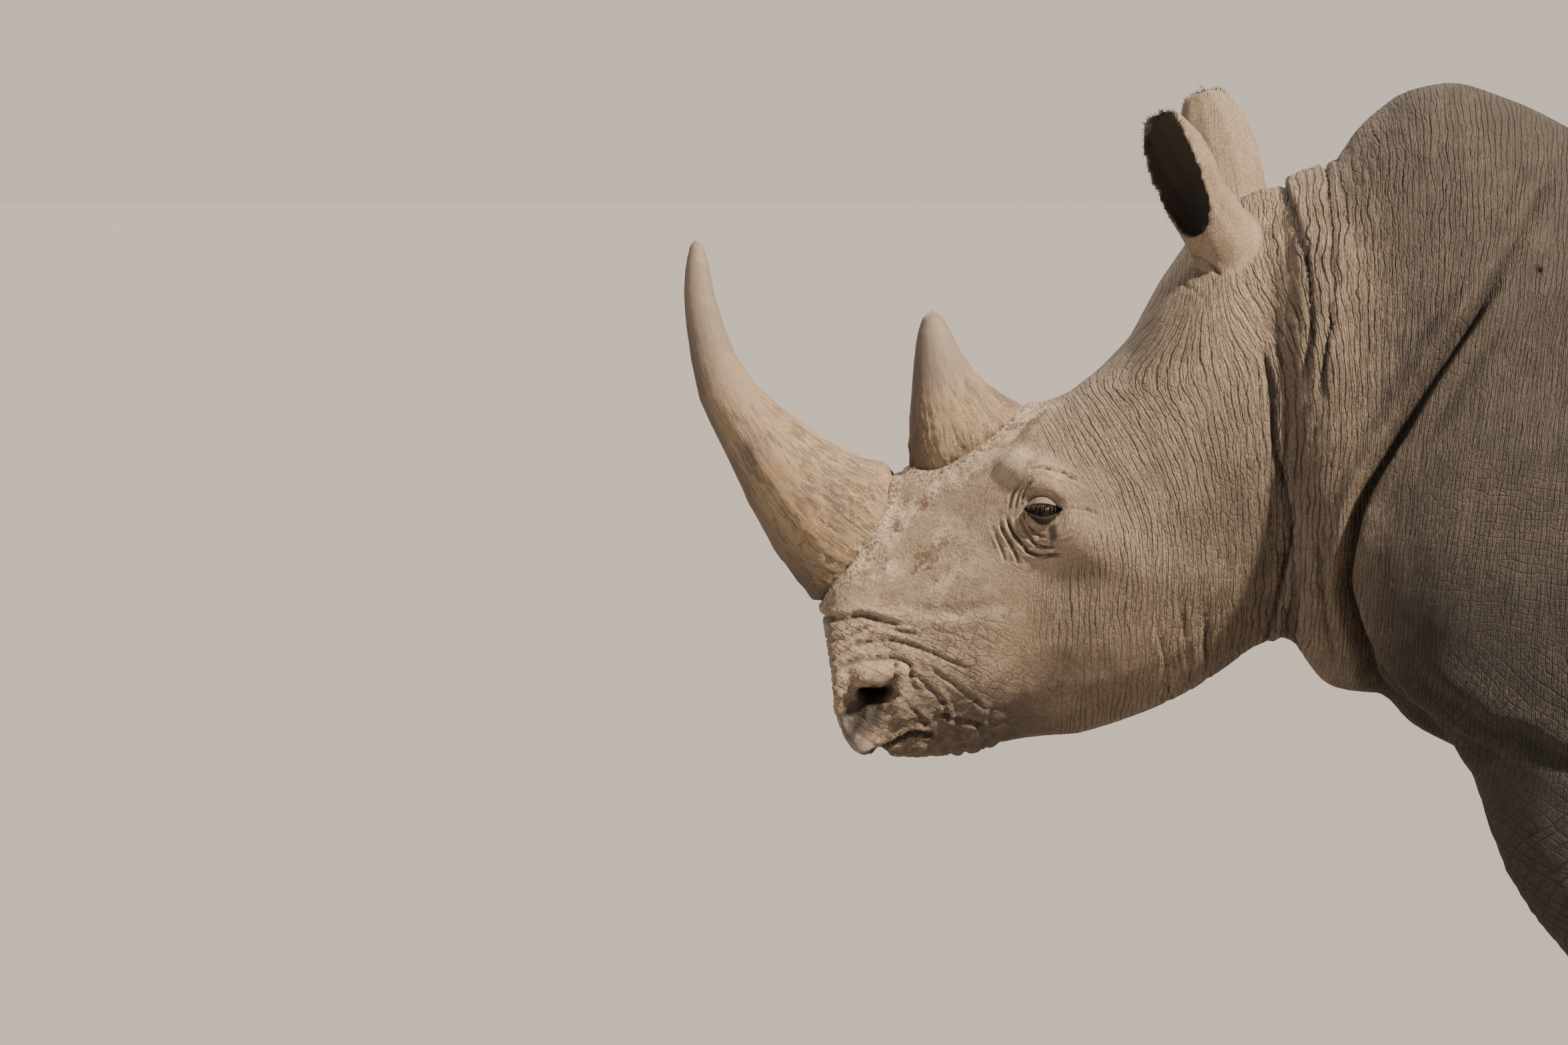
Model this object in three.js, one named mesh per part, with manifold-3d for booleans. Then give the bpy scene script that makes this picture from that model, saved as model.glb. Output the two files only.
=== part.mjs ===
// White rhinoceros, life size, standing still with its head held level.
// Millimetres, +Z up. The head is towards -X and the left side towards -Y.
// While it is modelled, x = 0 is under the top of the shoulder hump and z = 0 is the floor.
// At the end the whole animal is moved along X, so that the origin is under the middle of its box.
import * as THREE from "three";
import { mergeVertices } from "three/addons/utils/BufferGeometryUtils.js";
import Module from "manifold-3d";

// ---------------------------------------------------------------- driving dimensions
const SHOULDER_HEIGHT = 1750; // floor to the top of the hump; every other size scales with it
const NOMINAL_HEIGHT = 1750; // the height that the sizes below are written for
const GAP = 0.4; // free space between two pieces that touch

const EYE_RADIUS = 23;
const EYE_CENTRE = { x: -599, y: 160, z: 1126 };

const EAR_LENGTH = 262; // from its foot inside the head to the tip
const EAR_WALL = 9;

const FORE_FOOT = { half: 124, length: 272 };
const HIND_FOOT = { half: 112, length: 256 };
const FOOT_FORWARD = 6; // how far a foot's middle is ahead of the ankle's
const NAIL = { half: 62, height: 88, depth: 30, proud: 14 }; // a front foot's middle nail
const SIDE_NAIL = { share: 0.82, angle: 60 };

const TAIL_TOP = { x: 2120, z: 1330 };
const TAIL_LENGTH = 690;

const KNEE_HEIGHT = 430; // where the lower leg's swing begins
const HIP_HEIGHT = { fore: 1040, hind: 900 }; // where the whole leg's swing begins
const ANKLE_HEIGHT = 60; // where the swing ends

// How far each leg's knee and foot are behind their plain places.
const LEGS = [
  { name: "front_left", kind: "fore", side: -1, knee: 0, foot: 92 },
  { name: "front_right", kind: "fore", side: 1, knee: 60, foot: 34 },
  { name: "hind_left", kind: "hind", side: -1, knee: -26, foot: -70 },
  { name: "hind_right", kind: "hind", side: 1, knee: 26, foot: 84 },
];

// Where a leg is parted from the body, and which way that cut faces, in degrees above the horizontal.
const LEG_CUT = {
  fore: { x: 60, z: 796, facing: 72 },
  hind: { x: 1420, z: 800, facing: 96 },
};
const HEAD_CUT = { x: -246, z: 1250 }; // the crease behind the jaw, upright
const NECK_CUT = { x: -128, z: 1250, lean: -7 }; // the crease in front of the hump

// Foot and tip of each ear's middle line, and which way the ear opens: degrees forward from straight
// out to its side. The right ear is laid back.
const EARS = [
  { name: "ear_left", side: -1, foot: [-330, 98, 1474], tip: [-440, 172, 1696], open: 44 },
  { name: "ear_right", side: 1, foot: [-294, 98, 1492], tip: [-362, 172, 1736], open: -14 },
];

const LOOKS = {
  hide: { color: 0x8f7f70, roughness: 0.85 },
  horn: { color: 0xb79a78, roughness: 0.6 },
  eye: { color: 0x1c1412, roughness: 0.15 },
  nail: { color: 0x6f6357, roughness: 0.6 },
};

// ---------------------------------------------------------------- sections of the body
// Each section lies in the plane of Y and of the line from its first edge to its second. "half" is its half
// width, "widest" is where along that line it is widest, and "sharp" says how it closes towards each edge:
// 1 is an ellipse, less is squarer and more is sharper.

// From the rump forwards: spine and belly.
const TRUNK = [
  { at: "rump", from: [2165, 1080], to: [2165, 1080], half: 0 },
  { at: "buttocks", from: [2150, 1215], to: [2150, 930], half: 120 },
  { at: "tail root", from: [2105, 1330], to: [2110, 800], half: 225 },
  { at: "croup", from: [2010, 1450], to: [2040, 700], half: 310 },
  { at: "hips", from: [1860, 1545], to: [1900, 640], half: 372 },
  { at: "loin", from: [1680, 1594], to: [1700, 610], half: 418, widest: 0.52, sharp: [1.05, 1] },
  { at: "flank", from: [1300, 1580], to: [1300, 552], half: 466, widest: 0.57, sharp: [1.08, 1] },
  { at: "barrel", from: [850, 1552], to: [850, 535], half: 470, widest: 0.58, sharp: [1.05, 1] },
  { at: "girth", from: [500, 1573], to: [505, 585], half: 424, widest: 0.56, sharp: [1.12, 1] },
  { at: "shoulder blade", from: [250, 1632], to: [280, 655], half: 378, widest: 0.56, sharp: [1.2, 1] },
  { at: "withers", from: [106, 1711], to: [120, 722], half: 350, widest: 0.57, sharp: [1.2, 1] },
  { at: "hump", from: [0, 1750], to: [55, 752], half: 335, widest: 0.58, sharp: [1.2, 1] },
  { at: "front of hump", from: [-80, 1735], to: [5, 782], half: 316, widest: 0.58, sharp: [1.15, 1] },
  { at: "shoulders", from: [-142, 1683], to: [-50, 806], half: 292, widest: 0.56, sharp: [1.1, 1] },
  { at: "breast", from: [-176, 1628], to: [-88, 836], half: 262, widest: 0.54 },
  { at: "crease", from: [-190, 1560], to: [-110, 900], half: 210, widest: 0.52 },
  { at: "inside the neck", from: [-195, 1230], to: [-195, 1230], half: 0 },
];

// The roll of hide and muscle between the shoulders and the head: nape and throat.
const NECK = [
  { at: "inside the trunk", from: [60, 1250], to: [60, 1250], half: 0 },
  { at: "root", from: [20, 1530], to: [30, 960], half: 200 },
  { at: "behind the roll", from: [-60, 1592], to: [-30, 880], half: 268 },
  { at: "dewlap", from: [-120, 1606], to: [-112, 864], half: 286 },
  { at: "top of the roll", from: [-172, 1612], to: [-160, 862], half: 280 },
  { at: "nape fold", from: [-211, 1625], to: [-190, 874], half: 264, widest: 0.52 },
  { at: "front of the roll", from: [-236, 1614], to: [-216, 908], half: 244, widest: 0.52 },
  { at: "crease", from: [-252, 1580], to: [-240, 948], half: 212, widest: 0.52 },
  { at: "under the jaw's skin", from: [-300, 1480], to: [-290, 1040], half: 130 },
  { at: "inside the head", from: [-320, 1260], to: [-320, 1260], half: 0 },
];

// From the nape forwards: crown, forehead and nose, then jaw and lips.
const HEAD = [
  { at: "inside the neck", from: [-160, 1250], to: [-160, 1250], half: 0 },
  { at: "root", from: [-205, 1520], to: [-205, 1010], half: 140 },
  { at: "occiput", from: [-240, 1582], to: [-240, 946], half: 192 },
  { at: "poll", from: [-270, 1596], to: [-265, 937], half: 210, widest: 0.52, sharp: [1.1, 1] },
  { at: "ears", from: [-300, 1583], to: [-292, 929], half: 217, widest: 0.54, sharp: [1.1, 1] },
  { at: "jaw corner", from: [-340, 1556], to: [-334, 897], half: 220, widest: 0.54, sharp: [1.05, 1] },
  { at: "crown", from: [-380, 1524], to: [-385, 864], half: 220, widest: 0.54 },
  { at: "upper forehead", from: [-427, 1456], to: [-442, 837], half: 217, widest: 0.52, sharp: [0.95, 1] },
  { at: "forehead", from: [-470, 1375], to: [-494, 818], half: 209, widest: 0.47, sharp: [0.85, 1] },
  { at: "cheek bones", from: [-514, 1329], to: [-545, 803], half: 198, widest: 0.42, sharp: [0.78, 1] },
  { at: "brow", from: [-560, 1294], to: [-595, 800], half: 180, widest: 0.36, sharp: [0.76, 0.95] },
  { at: "eyes", from: [-610, 1276], to: [-640, 794], half: 161, widest: 0.34, sharp: [0.76, 0.9] },
  { at: "rear horn", from: [-672, 1236], to: [-690, 775], half: 143, widest: 0.36, sharp: [0.75, 0.85] },
  { at: "between horns", from: [-730, 1202], to: [-735, 771], half: 122, widest: 0.42, sharp: [0.75, 0.8] },
  { at: "mouth corner", from: [-785, 1176], to: [-775, 768], half: 110, widest: 0.5, sharp: [0.75, 0.75] },
  { at: "lower lip", from: [-838, 1130], to: [-808, 771], half: 106, widest: 0.56, sharp: [0.75, 0.7] },
  { at: "front horn", from: [-880, 1072], to: [-832, 776], half: 108, widest: 0.62, sharp: [0.75, 0.65] },
  { at: "nose", from: [-903, 1022], to: [-846, 773], half: 113, widest: 0.66, sharp: [0.7, 0.62] },
  { at: "nostrils", from: [-911, 978], to: [-858, 774], half: 117, widest: 0.66, sharp: [0.62, 0.6] },
  { at: "muzzle", from: [-908, 944], to: [-871, 784], half: 117, widest: 0.64, sharp: [0.56, 0.58] },
  { at: "upper lip", from: [-901, 912], to: [-883, 803], half: 108, widest: 0.55, sharp: [0.52, 0.52] },
  { at: "lip edge", from: [-898, 882], to: [-892, 828], half: 84, sharp: [0.5, 0.5] },
  { at: "lip middle", from: [-897, 856], to: [-897, 856], half: 0 },
];

// Shoulder and foreleg in one, then haunch and hind leg: front line and rear line, out to the side by "out".
const FORELEG = [
  { at: "blade top", from: [150, 1600], to: [150, 1600], half: 0, out: 130 },
  { at: "blade", from: [10, 1420], to: [330, 1460], half: 78, out: 204 },
  { at: "shoulder point", from: [-120, 1200], to: [432, 1260], half: 126, out: 256 },
  { at: "upper arm", from: [-156, 1090], to: [455, 1130], half: 134, out: 258 },
  { at: "brisket", from: [-150, 985], to: [465, 1000], half: 136, out: 252 },
  { at: "arm fold", from: [-108, 895], to: [463, 880], half: 132, out: 244 },
  { at: "elbow", from: [-46, 825], to: [452, 790], half: 128, out: 238 },
  { at: "below elbow", from: [4, 765], to: [438, 715], half: 122, out: 232 },
  { at: "upper forearm", from: [22, 703], to: [426, 655], half: 114, out: 229 },
  { at: "forearm", from: [50, 625], to: [414, 590], half: 105, out: 226 },
  { at: "lower forearm", from: [95, 552], to: [404, 535], half: 98, out: 224 },
  { at: "above wrist", from: [152, 486], to: [398, 480], half: 92, out: 222 },
  { at: "wrist", from: [196, 420], to: [398, 420], half: 88, out: 221 },
  { at: "cannon", from: [224, 260], to: [400, 260], half: 78, out: 220 },
  { at: "ankle", from: [226, 175], to: [408, 175], half: 84, out: 220 },
  { at: "top of foot", from: [208, 95], to: [438, 95], half: 106, out: 221 },
];
const HINDLEG = [
  { at: "croup", from: [1800, 1560], to: [1800, 1560], half: 0, out: 90 },
  { at: "hip", from: [1690, 1490], to: [1900, 1500], half: 50, out: 110 },
  { at: "haunch", from: [1580, 1370], to: [2030, 1410], half: 105, out: 170 },
  { at: "thigh", from: [1500, 1240], to: [2104, 1290], half: 148, out: 210 },
  { at: "buttock", from: [1452, 1110], to: [2138, 1150], half: 170, out: 228 },
  { at: "lower thigh", from: [1424, 985], to: [2128, 1015], half: 176, out: 236 },
  { at: "stifle", from: [1408, 880], to: [2092, 890], half: 168, out: 242 },
  { at: "flank fold", from: [1416, 790], to: [2040, 780], half: 150, out: 248 },
  { at: "upper shank", from: [1452, 700], to: [1986, 690], half: 130, out: 252 },
  { at: "shank", from: [1504, 610], to: [1930, 615], half: 110, out: 250 },
  { at: "above hock", from: [1556, 535], to: [1912, 545], half: 94, out: 245 },
  { at: "hock", from: [1606, 460], to: [1926, 470], half: 85, out: 241 },
  { at: "below hock", from: [1640, 390], to: [1916, 402], half: 78, out: 238 },
  { at: "cannon", from: [1654, 310], to: [1872, 312], half: 72, out: 236 },
  { at: "ankle", from: [1656, 205], to: [1848, 205], half: 73, out: 235 },
  { at: "top of foot", from: [1636, 95], to: [1864, 95], half: 96, out: 235 },
];

// Each horn: front line and rear line, from inside the head to the tip.
const FRONT_HORN = [
  { at: "inside the nose", from: [-840, 1080], to: [-840, 1080], half: 0 },
  { at: "root", from: [-900, 985], to: [-800, 1165], half: 80 },
  { at: "base", from: [-928, 996], to: [-822, 1194], half: 92 },
  { at: "collar", from: [-981, 1066], to: [-854, 1202], half: 85 },
  { at: "first quarter", from: [-1021, 1139], to: [-893, 1221], half: 73 },
  { at: "bend", from: [-1043, 1188], to: [-941, 1252], half: 61 },
  { at: "middle", from: [-1067, 1236], to: [-974, 1276], half: 50 },
  { at: "upper bend", from: [-1090, 1285], to: [-1010, 1309], half: 41 },
  { at: "upper half", from: [-1102, 1340], to: [-1038, 1351], half: 33 },
  { at: "last third", from: [-1109, 1389], to: [-1054, 1392], half: 27 },
  { at: "last fifth", from: [-1113, 1440], to: [-1068, 1438], half: 21 },
  { at: "point", from: [-1110, 1480], to: [-1076, 1482], half: 15 },
  { at: "blunt end", from: [-1104, 1506], to: [-1084, 1508], half: 8 },
  { at: "tip", from: [-1096, 1517], to: [-1096, 1517], half: 0 },
];
const REAR_HORN = [
  { at: "inside the nose", from: [-690, 1180], to: [-690, 1180], half: 0 },
  { at: "root", from: [-775, 1160], to: [-625, 1240], half: 72 },
  { at: "base", from: [-787, 1182], to: [-612, 1276], half: 80 },
  { at: "collar", from: [-789, 1222], to: [-656, 1294], half: 67 },
  { at: "middle", from: [-787, 1270], to: [-692, 1324], half: 53 },
  { at: "upper half", from: [-783, 1325], to: [-712, 1353], half: 40 },
  { at: "point", from: [-777, 1378], to: [-728, 1385], half: 28 },
  { at: "blunt end", from: [-769, 1403], to: [-740, 1404], half: 16 },
  { at: "tip", from: [-755, 1416], to: [-755, 1416], half: 0 },
];

// The tail: share of its length, how far it hangs back, half depth and half width.
const TAIL = [
  { at: "root", share: 0, back: 0, depth: 0, half: 0 },
  { at: "base", share: 0.04, back: 14, depth: 44, half: 46 },
  { at: "upper part", share: 0.14, back: 54, depth: 42, half: 42 },
  { at: "bend", share: 0.3, back: 80, depth: 33, half: 33 },
  { at: "middle", share: 0.5, back: 84, depth: 25, half: 26 },
  { at: "narrowest", share: 0.68, back: 80, depth: 20, half: 22 },
  { at: "brush", share: 0.8, back: 76, depth: 22, half: 30 },
  { at: "brush end", share: 0.93, back: 74, depth: 16, half: 28 },
  { at: "tip", share: 1, back: 73, depth: 0, half: 0 },
];

// An ear stands along Z and opens towards +X: back and front of its outside, then of its hollow.
const EAR_OUTSIDE = [
  { at: "foot", from: [0, 0], to: [0, 0], half: 0 },
  { at: "root", from: [36, 8], to: [-66, 8], half: 50 },
  { at: "tube", from: [40, 60], to: [-63, 60], half: 52 },
  { at: "notch", from: [42, 110], to: [-55, 110], half: 56 },
  { at: "cup", from: [38, 160], to: [-46, 160], half: 58 },
  { at: "shoulder", from: [28, 210], to: [-38, 210], half: 50 },
  { at: "rim", from: [14, 246], to: [-28, 246], half: 32 },
  { at: "tip", from: [-6, EAR_LENGTH], to: [-6, EAR_LENGTH], half: 0 },
];
const EAR_HOLLOW = [
  { at: "bottom", from: [10, 62], to: [10, 62], half: 0 },
  { at: "throat", from: [50, 84], to: [-34, 84], half: 52 - 2 * EAR_WALL },
  { at: "notch", from: [64, 115], to: [-44, 115], half: 56 - EAR_WALL },
  { at: "cup", from: [72, 160], to: [-37, 160], half: 58 - EAR_WALL },
  { at: "shoulder", from: [68, 210], to: [-29, 210], half: 53 - EAR_WALL },
  { at: "rim", from: [62, 252], to: [-20, 252], half: 40 - EAR_WALL },
  { at: "above", from: [35, 285], to: [35, 285], half: 0 },
];

// ---------------------------------------------------------------- solids
const wasm = await Module();
wasm.setup();
const { degToRad, clamp } = THREE.MathUtils;

// A closed three.js geometry as a solid, whichever way round its faces were made.
function solidOf(geometry) {
  const bare = geometry.clone();
  bare.deleteAttribute("normal");
  bare.deleteAttribute("uv");
  const merged = mergeVertices(bare, 1e-3);
  const vertProperties = merged.attributes.position.array;
  const triVerts = new Uint32Array(merged.index.array);
  const solid = new wasm.Manifold(new wasm.Mesh({ numProp: 3, vertProperties, triVerts }));
  if (solid.volume() > 0) return solid;
  for (let i = 0; i < triVerts.length; i += 3) {
    [triVerts[i + 1], triVerts[i + 2]] = [triVerts[i + 2], triVerts[i + 1]];
  }
  return new wasm.Manifold(new wasm.Mesh({ numProp: 3, vertProperties, triVerts }));
}

function geometryOf(solid) {
  const { numProp, numVert, vertProperties, triVerts } = solid.getMesh();
  const places = new Float32Array(numVert * 3);
  for (let i = 0; i < numVert; i++) {
    places.set(vertProperties.subarray(i * numProp, i * numProp + 3), i * 3);
  }
  const geometry = new THREE.BufferGeometry();
  geometry.setAttribute("position", new THREE.BufferAttribute(places, 3));
  geometry.setIndex(new THREE.BufferAttribute(triVerts, 1));
  geometry.computeVertexNormals();
  return geometry;
}

const joined = (...solids) => solids.reduce((sum, solid) => sum.add(solid));
const moved = (solid, matrix) => solidOf(geometryOf(solid).applyMatrix4(matrix));
const mirrored = (solid) => moved(solid, new THREE.Matrix4().makeScale(1, -1, 1));

// The solid with its surface moved out by the gap, to cut its neighbours clear of it.
function grown(solid) {
  const geometry = geometryOf(solid);
  const { position, normal } = geometry.attributes;
  const place = new THREE.Vector3();
  const out = new THREE.Vector3();
  for (let i = 0; i < position.count; i++) {
    place.fromBufferAttribute(position, i);
    place.addScaledVector(out.fromBufferAttribute(normal, i), GAP);
    position.setXYZ(i, place.x, place.y, place.z);
  }
  return solidOf(geometry);
}

// All that lies behind a plane through (x, z), which faces along X turned up by some degrees.
function halfSpace(x, z, facing) {
  const reach = 6000;
  const box = new THREE.BoxGeometry(reach, reach, reach);
  box.translate(-reach / 2, 0, 0);
  box.rotateY(-degToRad(facing));
  box.translate(x, 0, z);
  return solidOf(box);
}

function ellipsoid({ x, y, z }, radii, { turn = 0, around = 10, rows = 6 } = {}) {
  const ball = new THREE.SphereGeometry(1, around, rows);
  ball.scale(...radii);
  ball.rotateY(degToRad(turn));
  ball.translate(x, y, z);
  return solidOf(ball);
}

// A form through sections, one row of a sphere's grid for each. Its first and last sections are points.
function sweep(sections, around, side = 1) {
  const skin = new THREE.SphereGeometry(1, around, sections.length - 1);
  const places = skin.attributes.position;
  const edge = new THREE.Vector2();
  sections.forEach(({ from, to, half, out = 0, widest = 0.5, sharp = [1, 1] }, row) => {
    const first = new THREE.Vector2(...from);
    const second = new THREE.Vector2(...to);
    for (let column = 0; column <= around; column++) {
      const angle = ((column % around) / around) * 2 * Math.PI;
      const rise = Math.cos(angle);
      const power = rise > 0 ? sharp[0] : sharp[1];
      const reach = Math.abs(rise) ** power;
      const share = rise > 0 ? widest * (1 - reach) : widest + (1 - widest) * reach;
      const width = Math.sign(Math.sin(angle)) * Math.abs(Math.sin(angle)) ** power;
      edge.lerpVectors(first, second, share);
      places.setXYZ(row * (around + 1) + column, edge.x, side * out + half * width, edge.y);
    }
  });
  return solidOf(skin);
}

// ---------------------------------------------------------------- legs
const plainLeg = (kind) => (kind === "fore" ? FORELEG : HINDLEG);
const footSize = (kind) => (kind === "fore" ? FORE_FOOT : HIND_FOOT);

// Middle of a foot in its plain place, under the last section of the leg.
function footMiddle(kind) {
  const { from, to, out } = plainLeg(kind).at(-1);
  return { x: (from[0] + to[0]) / 2 - FOOT_FORWARD, y: out };
}

// Sections from the top of the foot down to just below the floor, which cuts it to a flat sole.
function footSections(kind) {
  const { half, length } = footSize(kind);
  const { x, y } = footMiddle(kind);
  const section = (z, share) => ({
    from: [x - (length / 2) * share, z],
    to: [x + (length / 2) * share, z],
    half: half * share,
    out: y,
    sharp: [0.85, 0.9],
  });
  return [section(48, 0.99), section(16, 1), section(-12, 0.93), section(-14, 0)];
}

// How far back a leg is bent at a height: the knee by one distance and the foot by another.
function setBack({ kind, knee, foot }, z) {
  const hip = HIP_HEIGHT[kind];
  const ease = (share) => share * share * (3 - 2 * share);
  const upper = ease(clamp((hip - z) / (hip - KNEE_HEIGHT), 0, 1));
  const lower = ease(clamp((KNEE_HEIGHT - z) / (KNEE_HEIGHT - ANKLE_HEIGHT), 0, 1));
  return knee * upper + (foot - knee) * lower;
}

function legForm(leg) {
  const sections = [...plainLeg(leg.kind), ...footSections(leg.kind)].map((section) => {
    const [from, to] = [section.from, section.to].map(([x, z]) => [x + setBack(leg, z), z]);
    return { ...section, from, to };
  });
  return sweep(sections, 14, leg.side);
}

// Three broad nails at the front of a foot: the middle one and one each side.
function nailForms({ kind, side, foot }) {
  const { half, length } = footSize(kind);
  const { x, y } = footMiddle(kind);
  const toes = { inner: -SIDE_NAIL.angle * side, middle: 0, outer: SIDE_NAIL.angle * side };
  return Object.entries(toes).map(([toe, angle]) => {
    const share = (angle === 0 ? 1 : SIDE_NAIL.share) * (half / FORE_FOOT.half);
    const ball = new THREE.SphereGeometry(1, 10, 8);
    ball.rotateX(Math.PI / 2);
    ball.scale(NAIL.depth, NAIL.half * share, NAIL.height * share);
    ball.translate(-length / 2 + NAIL.depth - NAIL.proud, 0, 0);
    ball.rotateZ(-degToRad(angle));
    ball.scale(1, (2 * half) / length, 1);
    ball.translate(x + foot, side * y, 0);
    return { toe, solid: solidOf(ball) };
  });
}

// ---------------------------------------------------------------- ears and tail
const earForm = () => sweep(EAR_OUTSIDE, 12).subtract(sweep(EAR_HOLLOW, 12));

function placedEar({ side, foot, tip, open }) {
  const place = new THREE.Vector3(foot[0], side * foot[1], foot[2]);
  const up = new THREE.Vector3(tip[0], side * tip[1], tip[2]).sub(place).normalize();
  const out = new THREE.Vector3(-Math.sin(degToRad(open)), side * Math.cos(degToRad(open)), 0);
  const across = new THREE.Vector3().crossVectors(up, out).normalize();
  const opening = new THREE.Vector3().crossVectors(across, up);
  return moved(earForm(), new THREE.Matrix4().makeBasis(opening, across, up).setPosition(place));
}

function tailForm() {
  const sections = TAIL.map(({ share, back, depth, half }) => {
    const x = TAIL_TOP.x + back;
    const z = TAIL_TOP.z - share * TAIL_LENGTH;
    return { from: [x - depth, z], to: [x + depth, z], half };
  });
  return sweep(sections, 10);
}

// ---------------------------------------------------------------- details of the face
// Comma-shaped nostrils, open to the front and the side.
function nostrils() {
  const opening = ellipsoid({ x: -836, y: -112, z: 868 }, [34, 42, 20], { turn: -12 });
  const tail = ellipsoid({ x: -872, y: -106, z: 842 }, [22, 20, 40], { turn: 18 });
  const hole = joined(opening, tail);
  return joined(hole, mirrored(hole));
}

// The slit between the lips, from the corners of the mouth forwards and down under the upper lip.
function mouthSlit() {
  const lips = new THREE.Shape();
  lips.moveTo(-772, 803);
  lips.quadraticCurveTo(-812, 800, -846, 762);
  lips.lineTo(-840, 758);
  lips.quadraticCurveTo(-810, 793, -772, 797);
  lips.closePath();
  const slit = new THREE.ExtrudeGeometry(lips, { depth: 400, bevelEnabled: false, curveSegments: 3 });
  slit.rotateX(Math.PI / 2);
  slit.translate(0, 200, 0);
  return solidOf(slit);
}

// Brow above each eye, and the cheek bone that runs back from under it.
function faceBones() {
  const brow = ellipsoid({ x: -582, y: -104, z: 1170 }, [96, 72, 52], { turn: 20 });
  const cheekBone = ellipsoid({ x: -462, y: -136, z: 1070 }, [170, 86, 74], { turn: 16 });
  return joined(brow, cheekBone, mirrored(brow), mirrored(cheekBone));
}

// ---------------------------------------------------------------- assembly
const rhino = new THREE.Group();
rhino.name = "white_rhinoceros";

const materials = {};
for (const [name, look] of Object.entries(LOOKS)) {
  materials[name] = new THREE.MeshStandardMaterial({ ...look, metalness: 0 });
}

function addPiece(name, solid, material) {
  const mesh = new THREE.Mesh(geometryOf(solid), materials[material]);
  mesh.name = name;
  rhino.add(mesh);
}

const floor = halfSpace(0, 0, 90);
const aboveFloor = (solid) => solid.subtract(floor);

const trunkForm = sweep(TRUNK, 24);
const neckForm = sweep(NECK, 24);
const headForm = sweep(HEAD, 26);

// The part of each leg above its cut belongs to the trunk.
const legs = LEGS.map((leg) => {
  const form = aboveFloor(legForm(leg));
  const { x, z, facing } = LEG_CUT[leg.kind];
  const above = form.subtract(halfSpace(x, z, facing));
  const below = form.subtract(halfSpace(x, z - GAP, facing + 180));
  return { ...leg, above, below, nails: nailForms(leg) };
});
const trunkAndLegs = joined(trunkForm, ...legs.map((leg) => leg.above));
const shoulders = joined(...legs.filter(({ kind }) => kind === "fore").map((leg) => leg.above));

const aheadOfHeadCut = halfSpace(HEAD_CUT.x, HEAD_CUT.z, 0);
const behindHeadCut = halfSpace(HEAD_CUT.x + GAP, HEAD_CUT.z, 180);
const aheadOfNeckCut = halfSpace(NECK_CUT.x - GAP, NECK_CUT.z, NECK_CUT.lean);
const behindNeckCut = halfSpace(NECK_CUT.x, NECK_CUT.z, NECK_CUT.lean + 180);

const trunk = joined(
  joined(trunkAndLegs, neckForm).intersect(behindNeckCut),
  shoulders.intersect(behindHeadCut),
);
const neck = joined(neckForm, trunkForm, headForm)
  .intersect(behindHeadCut)
  .intersect(aheadOfNeckCut)
  .subtract(grown(shoulders));
const wholeHead = joined(headForm, faceBones(), neckForm).intersect(aheadOfHeadCut);

const horns = { horn_front: sweep(FRONT_HORN, 16), horn_rear: sweep(REAR_HORN, 16) };
const hornRoots = joined(...Object.values(horns).map(grown));
const eyes = { eye_left: -EYE_CENTRE.y, eye_right: EYE_CENTRE.y };
const eyeball = (y, radius) =>
  ellipsoid({ ...EYE_CENTRE, y }, [radius, radius, radius], { around: 12, rows: 8 });
const sockets = joined(...Object.values(eyes).map((y) => eyeball(y, EYE_RADIUS + GAP)));
const head = wholeHead.subtract(joined(nostrils(), mouthSlit(), sockets, hornRoots));

addPiece("head", head, "hide");
addPiece("neck", neck, "hide");
addPiece("trunk", trunk, "hide");
for (const { name, below, nails } of legs) {
  const nailRoots = joined(...nails.map(({ solid }) => grown(solid)));
  addPiece("leg_" + name, below.subtract(joined(grown(trunkAndLegs), nailRoots)), "hide");
  for (const { toe, solid } of nails) addPiece(`nail_${name}_${toe}`, aboveFloor(solid), "nail");
}
addPiece("tail", tailForm().subtract(grown(trunkAndLegs)), "hide");
const earBed = grown(joined(headForm, neckForm, trunkForm));
for (const ear of EARS) addPiece(ear.name, placedEar(ear).subtract(earBed), "hide");
for (const [name, y] of Object.entries(eyes)) addPiece(name, eyeball(y, EYE_RADIUS), "eye");
for (const [name, horn] of Object.entries(horns)) addPiece(name, horn, "horn");

rhino.scale.setScalar(SHOULDER_HEIGHT / NOMINAL_HEIGHT);
const box = new THREE.Box3().setFromObject(rhino);
rhino.position.set(-(box.min.x + box.max.x) / 2, -(box.min.y + box.max.y) / 2, 0);

export default rhino;
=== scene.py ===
"""A life-size white rhinoceros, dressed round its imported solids.

One skin is drawn over all the flesh, then folded, wrinkled and coloured. The horns,
eyes, nails, lashes and hair are pieces of their own. Places on the animal are given
as (behind the hump's peak, above the floor), the same on both flanks: in millimetres
in the lines of folds, lips and horns, and otherwise in metres.
"""

import itertools
import math

import bmesh
import bpy
import numpy as np
from bpy.props import FloatProperty, FloatVectorProperty, IntProperty, PointerProperty
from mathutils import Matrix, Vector
from mathutils.bvhtree import BVHTree
from mathutils.noise import voronoi


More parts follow.
